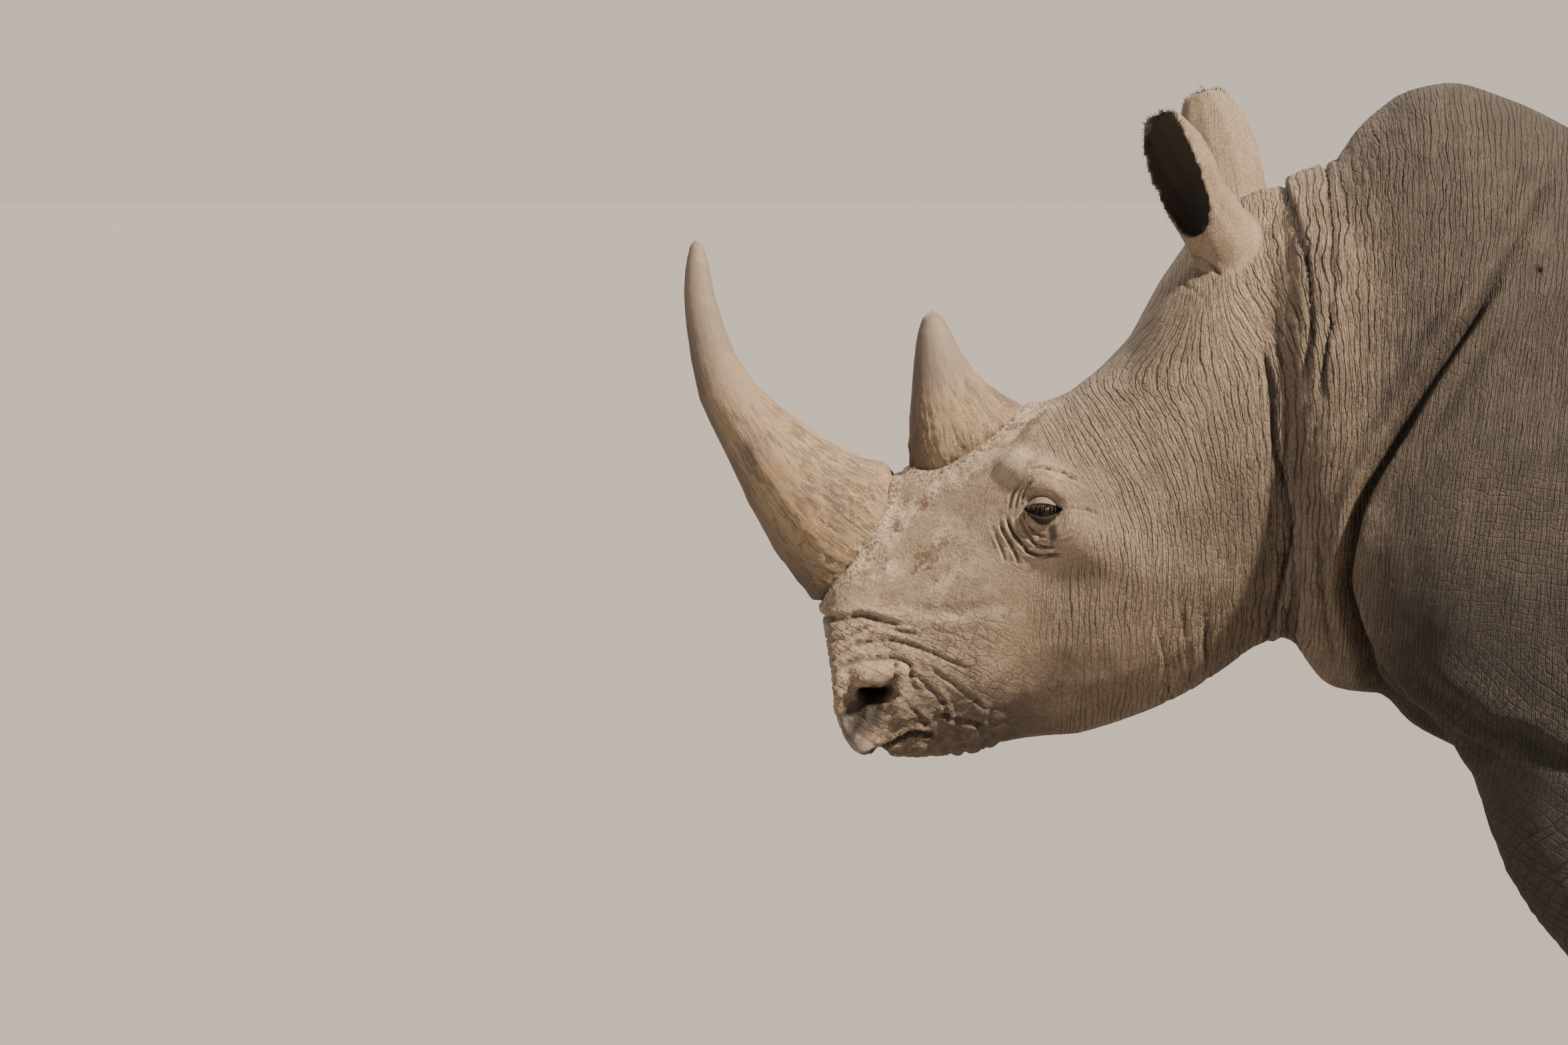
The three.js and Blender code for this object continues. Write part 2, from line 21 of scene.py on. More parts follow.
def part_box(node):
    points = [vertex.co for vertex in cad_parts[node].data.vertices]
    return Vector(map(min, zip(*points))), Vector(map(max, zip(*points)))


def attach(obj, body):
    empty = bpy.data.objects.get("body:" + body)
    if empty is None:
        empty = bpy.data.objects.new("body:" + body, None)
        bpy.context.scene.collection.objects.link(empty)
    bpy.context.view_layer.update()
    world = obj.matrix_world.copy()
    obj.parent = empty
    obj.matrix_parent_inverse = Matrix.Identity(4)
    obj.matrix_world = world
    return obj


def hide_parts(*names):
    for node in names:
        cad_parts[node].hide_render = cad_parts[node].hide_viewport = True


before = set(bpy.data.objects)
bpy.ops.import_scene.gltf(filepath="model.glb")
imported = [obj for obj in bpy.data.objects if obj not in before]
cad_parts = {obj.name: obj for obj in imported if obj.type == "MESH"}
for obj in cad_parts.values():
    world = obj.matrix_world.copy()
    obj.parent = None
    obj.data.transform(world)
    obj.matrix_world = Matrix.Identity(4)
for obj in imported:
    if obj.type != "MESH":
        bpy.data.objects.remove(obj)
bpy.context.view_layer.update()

bl_info = {
    "name": "White Rhinoceros",
    "version": (1, 0, 0),
    "blender": (4, 5, 0),
    "location": "3D View > Sidebar > Rhinoceros",
    "description": "Builds a life-size white rhinoceros over its solids",
    "category": "Object",
}

BODY = "root"
FLOOR_RADIUS = 250.0
CAMERA_AIM = (-0.968, 1.108)
LAMP_AIM = (-0.55, 1.1)
LAMP_DISTANCE = 8.0
LAMPS = {
    # azimuth, elevation and spread in degrees, and tint
    "key": (50, 41, 5, (1.0, 0.89, 0.74)),
    "fill": (-50, 20, 40, (0.74, 0.87, 1.0)),
    "rim": (200, 40, 30, (1.0, 0.93, 0.84)),
}
KEEP_FACTOR = 0.01
COARSER = 1.0
SMOOTH_ROUNDS = 150
LASHES, FRINGE_HAIRS, TUFT_HAIRS = 34, 1100, 900
HAIR_PATCH = 0.003
FLESH = (
    "head", "neck", "trunk", "leg_front_left", "leg_front_right",
    "leg_hind_left", "leg_hind_right", "tail", "ear_left", "ear_right",
)
FEET = ("front_left", "front_right", "hind_left", "hind_right")
SIDES = ("left", "right")


def middle(node):
    low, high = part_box(node)
    return (Vector(low) + Vector(high)) / 2


EYE = middle("eye_left")
EYE_RADIUS = (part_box("eye_left")[1][0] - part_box("eye_left")[0][0]) / 2
HUMP = EYE.x + 0.599
EYE_PLACE = (EYE.x - HUMP, EYE.z)
EYE_OUT = abs(EYE.y)
CHEEK_SIDE = 0.09  # hide further out than this is on the side of the face


# ------------------------------------------------------------ sizes and colours


def number(name, about, value, **more):
    return FloatProperty(name=name, description=about, default=value, **more)


def length(name, about, value, least):
    return number(name, about, value, min=least, unit="LENGTH")


class RhinoSizes(bpy.types.PropertyGroup):
    """Lengths that shape the pieces."""

    skin_cell: length("Skin cell", "Size of the cells the skin is first drawn with",
                      0.006, 0.003)
    skin_faces: IntProperty(
        name="Skin triangles", description="Triangles the finished skin is thinned to",
        default=190000, min=20000)
    fold_depth: number("Fold depth", "How deep the big folds are cut, 1 as in life",
                       1.0, min=0.0, subtype="FACTOR")
    wrinkle_depth: length("Wrinkle depth", "Height of the modelled wrinkles",
                          0.0022, 0.0)
    horn_cell: length("Horn cell", "Size of the cells the horns are drawn with",
                      0.0032, 0.002)
    nail_cell: length("Nail cell", "Size of the cells the nails are drawn with",
                      0.003, 0.002)
    lash_length: length("Lash length", "Length of the longest eyelash", 0.0125, 0.002)
    fringe_length: length("Ear fringe", "Length of the hairs on the ear's rim",
                          0.0085, 0.002)
    tuft_length: length("Tail tuft", "Length of the bristles at the tail's end",
                        0.15, 0.02)


def colour(name, about, value):
    return FloatVectorProperty(
        name=name, description=about, default=value, size=4, min=0.0, max=1.0,
        subtype="COLOR")


class RhinoColours(bpy.types.PropertyGroup):
    """Colours of hide, horn, eye, nail and hair."""

    hide: colour("Hide", "Dry hide on the cheek and neck", (0.306, 0.219, 0.148, 1))
    # Also laid as painted shade on the back, belly and legs and in spots on the head.
    hide_dark: colour("Dark hide", "Hide on the back, belly and legs",
                      (0.043, 0.036, 0.031, 1))
    # Laid as painted shade in the wrinkles, the hollows and the nostril's trough, over some
    # darker hide in the wrinkles' bottoms, and in dark specks.
    hide_furrow_tone_and_shade: colour("Furrow", "Bottom of the wrinkles", (0.036, 0.028, 0.023, 1))
    dust: colour("Dust", "Dry dust on the ridges", (0.484, 0.378, 0.268, 1))
    crust: colour("Crust", "Pale scurf round the horns", (0.620, 0.480, 0.350, 1))
    stain: colour("Stain", "Brown dirt round the horns", (0.140, 0.078, 0.045, 1))
    bare: colour("Bare skin", "Smooth grey skin in the nostril",
                 (0.240, 0.178, 0.150, 1))
    # Near black, laid as painted shade in the nostrils, along the mouth and between the lids.
    inside: colour("Inside", "Nostril and mouth inside", (0.014, 0.010, 0.008, 1))
    ear: colour("Ear inside", "Dark skin in the ears", (0.050, 0.037, 0.030, 1))
    horn: colour("Horn", "Dry horn", (0.400, 0.285, 0.180, 1))
    horn_tan: colour("Horn tan", "Orange stain on the horn", (0.440, 0.268, 0.125, 1))
    horn_dark: colour("Horn dark", "Dark fibres of the horn", (0.105, 0.078, 0.062, 1))
    horn_tip: colour("Horn tip", "Polished tip", (0.235, 0.185, 0.148, 1))
    nail: colour("Nail", "Toenail", (0.215, 0.175, 0.140, 1))
    iris: colour("Iris", "Ring of the iris", (0.016, 0.008, 0.005, 1))
    hair: colour("Hair", "Dark hair of ear and tail", (0.028, 0.020, 0.016, 1))
    lash: colour("Lash", "Dusty eyelashes", (0.022, 0.015, 0.011, 1))


class RhinoStudio(bpy.types.PropertyGroup):
    """Camera and lamps."""

    distance: number("Distance", "From the camera to the head", 16.0, unit="LENGTH")
    elevation: number("Elevation", "Angle of the camera above the horizon",
                      math.radians(2.0), subtype="ANGLE")
    lens: number("Lens", "Focal length in millimetres", 255.0)
    key_power: number("Key", "Strength of the main lamp", 8.8)
    fill_power: number("Fill", "Strength of the fill lamp", 0.46)
    rim_power: number("Rim", "Strength of the lamp behind", 2.2)
    sky: number("Room", "Brightness of the room", 0.82)


# ------------------------------------------------------------ points and noise


def column_of(mesh, name="co"):
    flat = np.empty(len(mesh.vertices) * 3)
    mesh.vertices.foreach_get(name, flat)
    return flat.reshape(-1, 3)


def points_of(mesh):
    return column_of(mesh)


def normals_of(mesh):
    return column_of(mesh, "normal")


def set_points(mesh, points):
    mesh.vertices.foreach_set("co", points.ravel())
    mesh.update()


def edges_of(mesh):
    flat = np.empty(len(mesh.edges) * 2, dtype=np.int32)
    mesh.edges.foreach_get("vertices", flat)
    return flat.reshape(-1, 2)


def relax(points, edges, rounds, share):
    """Moves each point towards the middle of its neighbours, by its share, each round."""
    count = len(points)
    first, second = edges[:, 0], edges[:, 1]
    degree = np.bincount(first, minlength=count) + np.bincount(second, minlength=count)
    degree = np.maximum(degree, 1)[:, None]
    step = np.broadcast_to(np.asarray(share, dtype=float), (count,))[:, None]
    for _ in range(rounds):
        total = np.empty_like(points)
        for axis in range(3):
            column = points[:, axis]
            total[:, axis] = np.bincount(first, column[second], count)
            total[:, axis] += np.bincount(second, column[first], count)
        points = points + (total / degree - points) * step
    return points


def polish(points, edges, rounds, share):
    """Smooths away small steps without thinning what is smoothed."""
    share = np.asarray(share, dtype=float)
    for _ in range(rounds):
        points = relax(points, edges, 1, 0.50 * share)
        points = relax(points, edges, 1, -0.53 * share)
    return points


def ramp(value, low, high):
    """0 below low, 1 above high, and smooth between them. low may be the larger."""
    t = np.clip((value - low) / (high - low), 0.0, 1.0)
    return t * t * (3 - 2 * t)


def hill(value, width):
    return np.exp(-np.square(value / width))


def noise(points, seed):
    """Smooth random heights between about -1 and 1, one cell to the unit."""
    rng = np.random.default_rng(seed)
    order = rng.permutation(256)
    slopes = rng.normal(size=(256, 3))
    slopes /= np.linalg.norm(slopes, axis=1)[:, None]
    cell = np.floor(points).astype(np.int64)
    part = points - cell
    fade = part**3 * (part * (part * 6 - 15) + 10)
    total = np.zeros(len(points))
    for corner in itertools.product((0, 1), repeat=3):
        key = order[(cell[:, 0] + corner[0]) & 255]
        key = order[(key + cell[:, 1] + corner[1]) & 255]
        key = order[(key + cell[:, 2] + corner[2]) & 255]
        weight = np.prod(np.where(corner, fade, 1 - fade), axis=1)
        total += weight * np.einsum("ij,ij->i", slopes[key], part - np.array(corner))
    return total * 1.7


def furrows(points, size, seed, sharp=0.16):
    """1 along wandering lines where the noise crosses zero, 0 between them."""
    return hill(noise(points / np.array(size), seed), sharp)


def cells(points, size, chosen):
    """0 in the creases between rounded cells of this size, 1 on the cells."""
    height = np.ones(len(points))
    for index in np.nonzero(chosen)[0]:
        gaps = voronoi(Vector(points[index] / size))[0]
        height[index] = gaps[1] - gaps[0]
    return ramp(height, 0.0, 0.42)


def curve(knots, steps=10):
    """A smooth line through knots in millimetres, as an array of points in metres."""
    knots = np.array([knots[0], *knots, knots[-1]]) / 1000
    line = []
    for a, b, c, d in zip(knots, knots[1:], knots[2:], knots[3:]):
        for t in np.linspace(0, 1, steps, endpoint=False):
            line.append(0.5 * (2 * b + (c - a) * t + (2 * a - 5 * b + 4 * c - d) * t * t
                               + (3 * b - a - 3 * c + d) * t**3))
    line.append(knots[-2])
    return np.array(line)


def along(flat, knots, reach):
    """For points near a line in the flank's plane: which ones, how far off it they are
    (minus on its right hand) and how far along it, from 0 to 1."""
    line = curve(knots)
    low, high = line.min(axis=0) - reach, line.max(axis=0) + reach
    near = np.nonzero(np.all((flat > low) & (flat < high), axis=1))[0]
    spots = flat[near]
    best = np.full(len(near), np.inf)
    side = np.zeros(len(near))
    place = np.zeros(len(near))
    lengths = np.linalg.norm(np.diff(line, axis=0), axis=1)
    total, done = lengths.sum(), 0.0
    for start, end, length in zip(line, line[1:], lengths):
        way = (end - start) / length
        rel = spots - start
        t = np.clip(rel @ way, 0, length)
        off = rel - t[:, None] * way
        gap = np.hypot(off[:, 0], off[:, 1])
        closer = gap < best
        best[closer] = gap[closer]
        side[closer] = np.sign(way[0] * rel[:, 1] - way[1] * rel[:, 0])[closer]
        place[closer] = ((done + t) / total)[closer]
        done += length
    inside = best < reach
    return near[inside], (best * side)[inside], place[inside]


# ------------------------------------------------------------ objects


def made_mesh(bm, name="draft"):
    mesh = bpy.data.meshes.new(name)
    bm.to_mesh(mesh)
    bm.free()
    return mesh


def merged(nodes, swell=0.0):
    """A mesh of copies of the solids, each closed and swollen a little."""
    bm = bmesh.new()
    for node in nodes:
        bm.from_mesh(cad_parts[node].data)
    bmesh.ops.remove_doubles(bm, verts=bm.verts, dist=1e-5)
    bm.normal_update()
    for vert in bm.verts:
        vert.co += vert.normal * swell
    return made_mesh(bm)


def place_object(name, mesh, slot, material, *nodes):
    """A finished piece on the animal, standing for the nodes."""
    mesh.name = name
    mesh.materials.append(material)
    mesh.polygons.foreach_set("use_smooth", np.ones(len(mesh.polygons), dtype=bool))
    mesh.update()
    piece = bpy.data.objects.new(name, mesh)
    bpy.context.scene.collection.objects.link(piece)
    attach(piece, BODY)
    if nodes:
        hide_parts(*nodes)


def modified(mesh, kind, **settings):
    """The mesh after one modifier."""
    holder = bpy.data.objects.new("draft", mesh)
    bpy.context.scene.collection.objects.link(holder)
    modifier = holder.modifiers.new(kind, kind)
    groups = settings.pop("weights", None)
    if groups is not None:
        holder.vertex_groups.clear()
        group = holder.vertex_groups.new(name="share")
        levels = np.round(groups * 50).astype(int)
        for level in np.unique(levels):
            picked = np.nonzero(levels == level)[0].tolist()
            group.add(picked, level / 50, "REPLACE")
        modifier.vertex_group = group.name
    for key, value in settings.items():
        setattr(modifier, key, value)
    depsgraph = bpy.context.evaluated_depsgraph_get()
    made = bpy.data.meshes.new_from_object(holder.evaluated_get(depsgraph))
    bpy.data.objects.remove(holder)
    bpy.data.meshes.remove(mesh)
    return made


def remeshed(mesh, cell):
    return modified(mesh, "REMESH", mode="VOXEL", voxel_size=cell)


def refined(mesh, chosen):
    """Cuts the edges whose two ends are chosen in half."""
    bm = bmesh.new()
    bm.from_mesh(mesh)
    bm.verts.ensure_lookup_table()
    edges = [e for e in bm.edges if chosen[e.verts[0].index] and chosen[e.verts[1].index]]
    bmesh.ops.subdivide_edges(bm, edges=edges, cuts=1, use_grid_fill=True)
    bm.to_mesh(mesh)
    bm.free()
    return mesh


def store(mesh, **layers):
    """Keeps a number or three for each point, for the materials to read."""
    for name, values in layers.items():
        values = np.asarray(values, dtype=np.float32)
        kind = ("FLOAT", "value") if values.ndim == 1 else ("FLOAT_VECTOR", "vector")
        layer = mesh.attributes.new(name, kind[0], "POINT")
        layer.data.foreach_set(kind[1], values.ravel())


# ------------------------------------------------------------ folds of the hide

# Each fold is its depth, its width and how far the hide swells before and after it,
# then the places it passes through, all in millimetres. A fold that runs downwards
# has the head before it and the tail after it.

NECK_FOLDS = {
    "nape front": (9, 3.6, 2, 6, [
        (-258, 1700), (-248, 1600), (-238, 1553), (-228, 1500), (-222, 1440), (-222, 1380),
        (-232, 1310)]),
    "nape back": (10, 3.8, 6, 5, [
        (-184, 1720), (-190, 1620), (-191, 1563), (-186, 1500), (-187, 1450), (-196, 1390),
        (-204, 1330), (-202, 1270)]),
    "behind the jaw": (11, 4.0, 2, 8, [
        (-292, 1400), (-278, 1320), (-268, 1220), (-254, 1160), (-250, 1090), (-254, 1030),
        (-270, 960), (-285, 880)]),
    "shoulder top": (7, 8, 3, 4, [
        (140, 1630), (85, 1545), (34, 1456), (-10, 1385), (-50, 1330)]),
    "shoulder": (27, 9, 14, 15, [
        (55, 1500), (34, 1456), (10, 1414), (-22, 1366), (-60, 1314), (-91, 1256), (-130, 1188),
        (-150, 1140), (-163, 1080), (-166, 1030), (-152, 978), (-132, 914), (-124, 850)]),
    "throat": (8, 8, 2, 4, [
        (-215, 1100), (-205, 1020), (-196, 950), (-180, 880)]),
    "brisket": (13, 9, 5, 8, [
        (-150, 930), (-100, 865), (-56, 835), (5, 800), (60, 780)]),
    "above the elbow": (9, 14, 7, 2, [
        (300, 755), (200, 765), (121, 787), (72, 812), (13, 832), (-56, 878), (-100, 940)]),
}

BODY_FOLDS = {
    "behind the elbow": (15, 22, 8, 9, [
        (545, 1160), (552, 1050), (545, 950), (525, 860), (490, 780), (440, 710)]),
    "behind the shoulder": (7, 26, 8, 4, [
        (500, 1520), (530, 1400), (560, 1270), (560, 1150), (550, 1040)]),
    "flank": (15, 26, 7, 11, [
        (1375, 1240), (1345, 1120), (1315, 1000), (1285, 900), (1270, 820), (1300, 750)]),
    "flank second": (7, 20, 4, 4, [
        (1285, 1100), (1250, 1000), (1220, 900), (1210, 820)]),
    "hip": (6, 30, 5, 8, [
        (1600, 1460), (1520, 1380), (1450, 1290), (1400, 1200)]),
    "buttock": (9, 20, 5, 5, [
        (2035, 1200), (1995, 1080), (1965, 970), (1955, 880), (1965, 800)]),
    "gaskin": (9, 20, 5, 4, [
        (1930, 870), (1840, 810), (1760, 770), (1660, 740), (1550, 730)]),
    "knee fold": (6, 9, 3, 3, [
        (300, 530), (220, 500), (140, 490)]),
}

FACE_FOLDS = {
    "under the horn": (7, 4.5, 1, 3, [
        (-960, 978), (-915, 976), (-885, 973), (-858, 977), (-820, 968), (-790, 963)]),
    "nose first": (3.6, 2.6, 1.2, 1.2, [
        (-960, 936), (-914, 940), (-885, 944), (-864, 953), (-840, 961), (-800, 955),
        (-760, 950)]),
    "nose second": (4.2, 2.6, 1.2, 1.4, [
        (-960, 912), (-908, 915), (-886, 925), (-860, 937), (-820, 941), (-780, 934),
        (-735, 916), (-690, 895)]),
    "nose third": (4.6, 2.8, 1, 2, [
        (-960, 893), (-905, 897), (-888, 906), (-866, 915), (-835, 917), (-805, 916),
        (-788, 908), (-786, 886), (-776, 868)]),
    "wing back": (4.6, 2.4, 1.6, 1.6, [
        (-812, 915), (-809, 900), (-811, 886), (-819, 878)]),
    "lip first": (3.8, 2.6, 1, 1.6, [
        (-789, 898), (-765, 880), (-744, 858), (-734, 834), (-735, 815)]),
    "lip second": (3.6, 2.6, 1, 1.4, [
        (-760, 903), (-725, 880), (-695, 855), (-668, 838)]),
    "lip third": (3.0, 2.6, 1, 1.4, [
        (-800, 856), (-778, 838), (-760, 818), (-752, 800)]),
    "corner": (4.5, 2.8, 1.4, 1.4, [
        (-748, 836), (-722, 826), (-700, 822), (-676, 812)]),
    "chin first": (3, 4, 1, 1, [
        (-722, 832), (-716, 808), (-708, 785), (-704, 760)]),
    "chin second": (3, 4, 1, 1, [
        (-744, 812), (-738, 792), (-728, 770), (-724, 750)]),
    "chin third": (3, 4, 1, 1, [
        (-690, 826), (-681, 806), (-676, 785), (-672, 760)]),
    "mouth": (12, 3.0, 2.4, 3, [
        (-905, 768), (-860, 775), (-844, 780), (-824, 787), (-807, 797), (-795, 803),
        (-785, 808), (-770, 807), (-756, 803), (-744, 797)]),
    "lower lip": (4, 3, 1, 1, [
        (-826, 777), (-805, 783), (-785, 784), (-768, 778)]),
    "crest": (3, 8, 0, 3, [
        (-660, 1004), (-700, 988), (-745, 984), (-790, 990)]),
    "jaw first": (3.6, 3.6, 1.2, 1.4, [
        (-374, 1020), (-366, 968), (-362, 920), (-356, 870)]),
    "jaw second": (3.4, 3.4, 1.2, 1.4, [
        (-404, 1000), (-394, 950), (-388, 910), (-384, 860)]),
    "jaw third": (3.0, 3.2, 1.0, 1.2, [
        (-440, 980), (-425, 930), (-418, 890), (-414, 840)]),
    "ear root": (4, 2.6, 1.5, 1.5, [
        (-388, 1492), (-372, 1487), (-355, 1476), (-342, 1462)]),
    "under the ear": (3, 2.6, 1, 1, [
        (-420, 1462), (-395, 1452), (-372, 1436), (-362, 1410)]),
}

EYE_FOLDS = {
    "upper lid": (2.8, 1.4, 0.5, 0.8, [
        (-622, 1136), (-616, 1145), (-604, 1150), (-590, 1147), (-580, 1140), (-573, 1132)]),
    "brow": (3.6, 2, 1.6, 1.8, [
        (-620, 1181), (-615, 1189), (-604, 1192), (-590, 1190), (-574, 1186), (-559, 1181)]),
    "brow second": (2.4, 1.8, 1, 1.2, [
        (-596, 1190), (-579, 1183), (-564, 1179), (-548, 1175)]),
    "front first": (3.6, 1.8, 1.2, 1.4, [
        (-612, 1175), (-621, 1165), (-627, 1151), (-630, 1135)]),
    "front second": (3, 1.7, 1.2, 1.2, [
        (-619, 1174), (-630, 1159), (-635, 1145), (-638, 1131)]),
    "front third": (3, 1.8, 1.2, 1.2, [
        (-625, 1175), (-638, 1159), (-644, 1145), (-647, 1130)]),
    "bag first": (4.2, 1.7, 1.4, 1.6, [
        (-627, 1128), (-620, 1115), (-614, 1103), (-605, 1096), (-592, 1093)]),
    "bag second": (5.4, 1.9, 2, 2.2, [
        (-633, 1128), (-630, 1117), (-624, 1105), (-617, 1093), (-610, 1084), (-597, 1079),
        (-579, 1079)]),
    "bag third": (7, 2.3, 2.4, 2.6, [
        (-652, 1126), (-647, 1111), (-640, 1097), (-631, 1086), (-625, 1080), (-621, 1073),
        (-608, 1068), (-590, 1067), (-568, 1070)]),
    "bag fourth": (5, 2.2, 1.6, 2, [
        (-660, 1115), (-655, 1101), (-646, 1086), (-638, 1070), (-632, 1053)]),
    "bag fifth": (3.2, 2, 1.2, 1.2, [
        (-668, 1103), (-663, 1089), (-658, 1076), (-651, 1056)]),
    "outer first": (2, 1.5, 0.6, 0.8, [
        (-570, 1133), (-555, 1135), (-537, 1133), (-516, 1124)]),
    "outer second": (1.8, 1.5, 0.6, 0.6, [
        (-576, 1082), (-560, 1091), (-543, 1102), (-523, 1109)]),
    "outer third": (1.8, 1.5, 0.6, 0.6, [
        (-585, 1092), (-568, 1098), (-554, 1109), (-537, 1118)]),
}


MUZZLE_MOUNDS = (
    # height in millimetres, width in metres, and the places it passes through
    (7, 0.011, [(-880, 897), (-891, 882), (-894, 860), (-889, 832)]),
    (6, 0.008, [(-806, 908), (-798, 893), (-799, 876), (-806, 866)]),
    (7, 0.017, [(-812, 860), (-800, 845), (-796, 826)]),
    (5, 0.012, [(-875, 800), (-855, 792), (-830, 800)]),
    (6, 0.009, [(-825, 772), (-800, 780), (-775, 785), (-755, 787)]),
    (4, 0.006, [(-782, 818), (-769, 814), (-760, 812)]),
)


def press(points, normals, folds, depth=1.0, wander=0.004):
    """Cuts the folds into the hide and swells it beside them, on both flanks."""
    move = np.zeros(len(points))
    for sign in (-1, 1):
        flank = np.nonzero(points[:, 1] * sign >= 0)[0]
        flat = points[flank][:, (0, 2)] - (HUMP, 0)
        drift = points[flank] / 0.09
        flat = flat + wander * np.stack([noise(drift, 5), noise(drift, 6)], axis=1)
        for name, (deep, wide, before, after, knots) in folds.items():
            wide = wide / 1000
            near, off, place = along(flat, knots, wide * 5)
            ends = ramp(place, 0.0, 0.16) * ramp(place, 1.0, 0.84)
            cut = -deep * hill(off, wide)
            cut += before * hill(off + 2.1 * wide, 1.5 * wide)
            cut += after * hill(off - 2.1 * wide, 1.5 * wide)
            facing = ramp(np.abs(normals[flank[near], 1]), 0.0, 0.25)
            wrap = 1.0 if deep < 7 or "nape" in name or "horn" in name else facing
            move[flank[near]] += depth * cut / 1000 * ends * wrap
    return points + normals * move[:, None]


def places(points):
    """How far behind the hump, how far out to the side, and how high."""
    return points[:, 0] - HUMP, np.abs(points[:, 1]), points[:, 2]


def spot(points, at, size):
    """1 at a place on the flanks, fading to 0 beyond its two half sizes."""
    x, _, z = places(points)
    return np.exp(-np.square((x - at[0]) / size[0]) - np.square((z - at[1]) / size[1]))


def from_eye(points):
    x, _, z = places(points)
    return np.hypot(x - EYE_PLACE[0], z - EYE_PLACE[1])


def tree_of(node):
    mesh = merged([node])
    tree = BVHTree.FromPolygons(
        [v.co for v in mesh.vertices], [tuple(p.vertices) for p in mesh.polygons])
    bpy.data.meshes.remove(mesh)
    return tree


def nearness(points, node, reach):
    """How far each point is from a solid, up to reach."""
    tree = tree_of(node)
    low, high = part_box(node)
    inside = np.all((points > np.array(low) - reach) & (points < np.array(high) + reach),
                    axis=1)
    gaps = np.full(len(points), float(reach))
    for index in np.nonzero(inside)[0]:
        hit = tree.find_nearest(Vector(points[index]), reach)
        if hit[0] is not None:
            gaps[index] = hit[3]
    return gaps


# The line up the middle of each ear, from its foot to its tip, by side.
EAR_LINES = {
    -1: ((-0.330, 0.098, 1.474), (-0.440, 0.172, 1.696)),
    1: ((-0.294, 0.098, 1.492), (-0.362, 0.172, 1.736)),
}


def ear_line(sign):
    """The foot and the tip of an ear, and the way between them."""
    foot, tip = (np.array((p[0] + HUMP, sign * p[1], p[2])) for p in EAR_LINES[sign])
    return foot, tip, (tip - foot) / np.linalg.norm(tip - foot)


def hug(points, edges):
    """Draws the ears onto their solids, so that their rims run smooth."""
    for side, sign in zip(SIDES, (-1, 1)):
        node = f"ear_{side}"
        foot, _, way = ear_line(sign)
        share = ramp((points - foot) @ way, 0.040, 0.075)
        share = share * (nearness(points, node, 0.014) < 0.010)
        tree = tree_of(node)
        for index in np.nonzero(share > 0.01)[0]:
            place = tree.find_nearest(Vector(points[index]))[0]
            points[index] += share[index] * (np.array(place) - points[index])
        root = ramp((points - foot) @ way, 0.080, 0.045)
        root = root * ramp(nearness(points, node, 0.035), 0.034, 0.004)
        points = relax(points, edges, 30, 0.5 * root)
    return points


def trim_ear(points):
    """Draws in the rear rim of the ear on the camera's side, low down."""
    pull = spot(points, (-0.344, 1.585), (0.030, 0.050)) * (points[:, 1] < -0.05)
    points[:, 0] -= 0.011 * pull * ear_share(points)
    return points


def fill_out(points, normals):
    """The broad forms of muscle and bone under the hide."""
    x, _, z = places(points)
    out = ramp(np.abs(normals[:, 1]), 0.15, 0.7)
    forms = (
        # how far out in millimetres, where, and its half sizes
        (10, (-0.205, 1.02), (0.035, 0.17)),
        (5, (-0.215, 1.46), (0.020, 0.10)),
        (15, (-0.246, 1.38), (0.026, 0.17)),
        (6, (-0.240, 1.12), (0.020, 0.12)),
        (10, (0.02, 1.02), (0.12, 0.20)),
        (7, (0.12, 0.88), (0.13, 0.06)),
        (-8, (0.13, 1.20), (0.10, 0.22)),
        (8, (0.30, 1.25), (0.09, 0.22)),
        (9, (1.55, 1.05), (0.16, 0.22)),
        (-24, (1.36, 1.18), (0.15, 0.24)),
        (-14, (0.50, 1.18), (0.10, 0.26)),
        (10, (0.95, 1.02), (0.30, 0.24)),
        (-6, (1.86, 1.22), (0.08, 0.12)),
        (5, (-0.44, 1.02), (0.10, 0.10)),
        (-5, (-0.50, 1.20), (0.06, 0.05)),
    )
    move = np.zeros(len(points))
    for height, at, size in forms:
        move += height / 1000 * spot(points, at, size) * out
    ribs = np.sin((x - 0.16 * (z - 1.0)) / 0.088 * 2 * np.pi)
    move += 0.0022 * ribs * ramp(x, 0.6, 0.8) * ramp(x, 1.28, 1.1) * out
    return points + normals * move[:, None]


def carve_eyes(points):
    """Heavy lids over the eyeball, and the slit between them."""
    shell = EYE_RADIUS + 0.0028
    for sign in (-1, 1):
        a = points[:, 0] - HUMP - EYE_PLACE[0]
        b = points[:, 2] - EYE_PLACE[1]
        r = np.hypot(a, b)
        near = np.nonzero((r < 0.12) & (points[:, 1] * sign > CHEEK_SIDE))[0]
        a, b, r = a[near], b[near], r[near]
        out = points[near, 1] * sign
        out = out + 0.0060 * hill(r, 0.042)
        dome = EYE_OUT + np.sqrt(np.maximum(shell**2 - r**2, 0))
        out = out + ramp(r, 0.040, 0.017) * np.clip(dome - out, -0.008, 0.060)
        bulge = np.square((a - 0.008) / 0.030) + np.square((b - 0.040) / 0.020)
        hollow = np.square((a + 0.020) / 0.009) + np.square((b - 0.034) / 0.022)
        out += 0.0040 * np.exp(-bulge) - 0.0030 * np.exp(-hollow)
        top, bottom, bend = eye_slit(a)
        gap = np.minimum(top - b, b - bottom)
        gap = np.where(bend > 0, gap, -np.abs(a))
        out += 0.0011 * hill(gap + 0.0034, 0.0026)
        out -= 0.030 * ramp(gap, -0.0008, 0.0020)
        points[near, 1] = out * sign
    return points


def eye_slit(a):
    """Upper and lower lid edge at a place along the eye, and how far from its ends."""
    bend = 1 - np.square((a - 0.0007) / 0.0262)
    return 0.0070 + 0.0073 * bend - 0.06 * a * bend, 0.0070 - 0.0100 * bend, bend


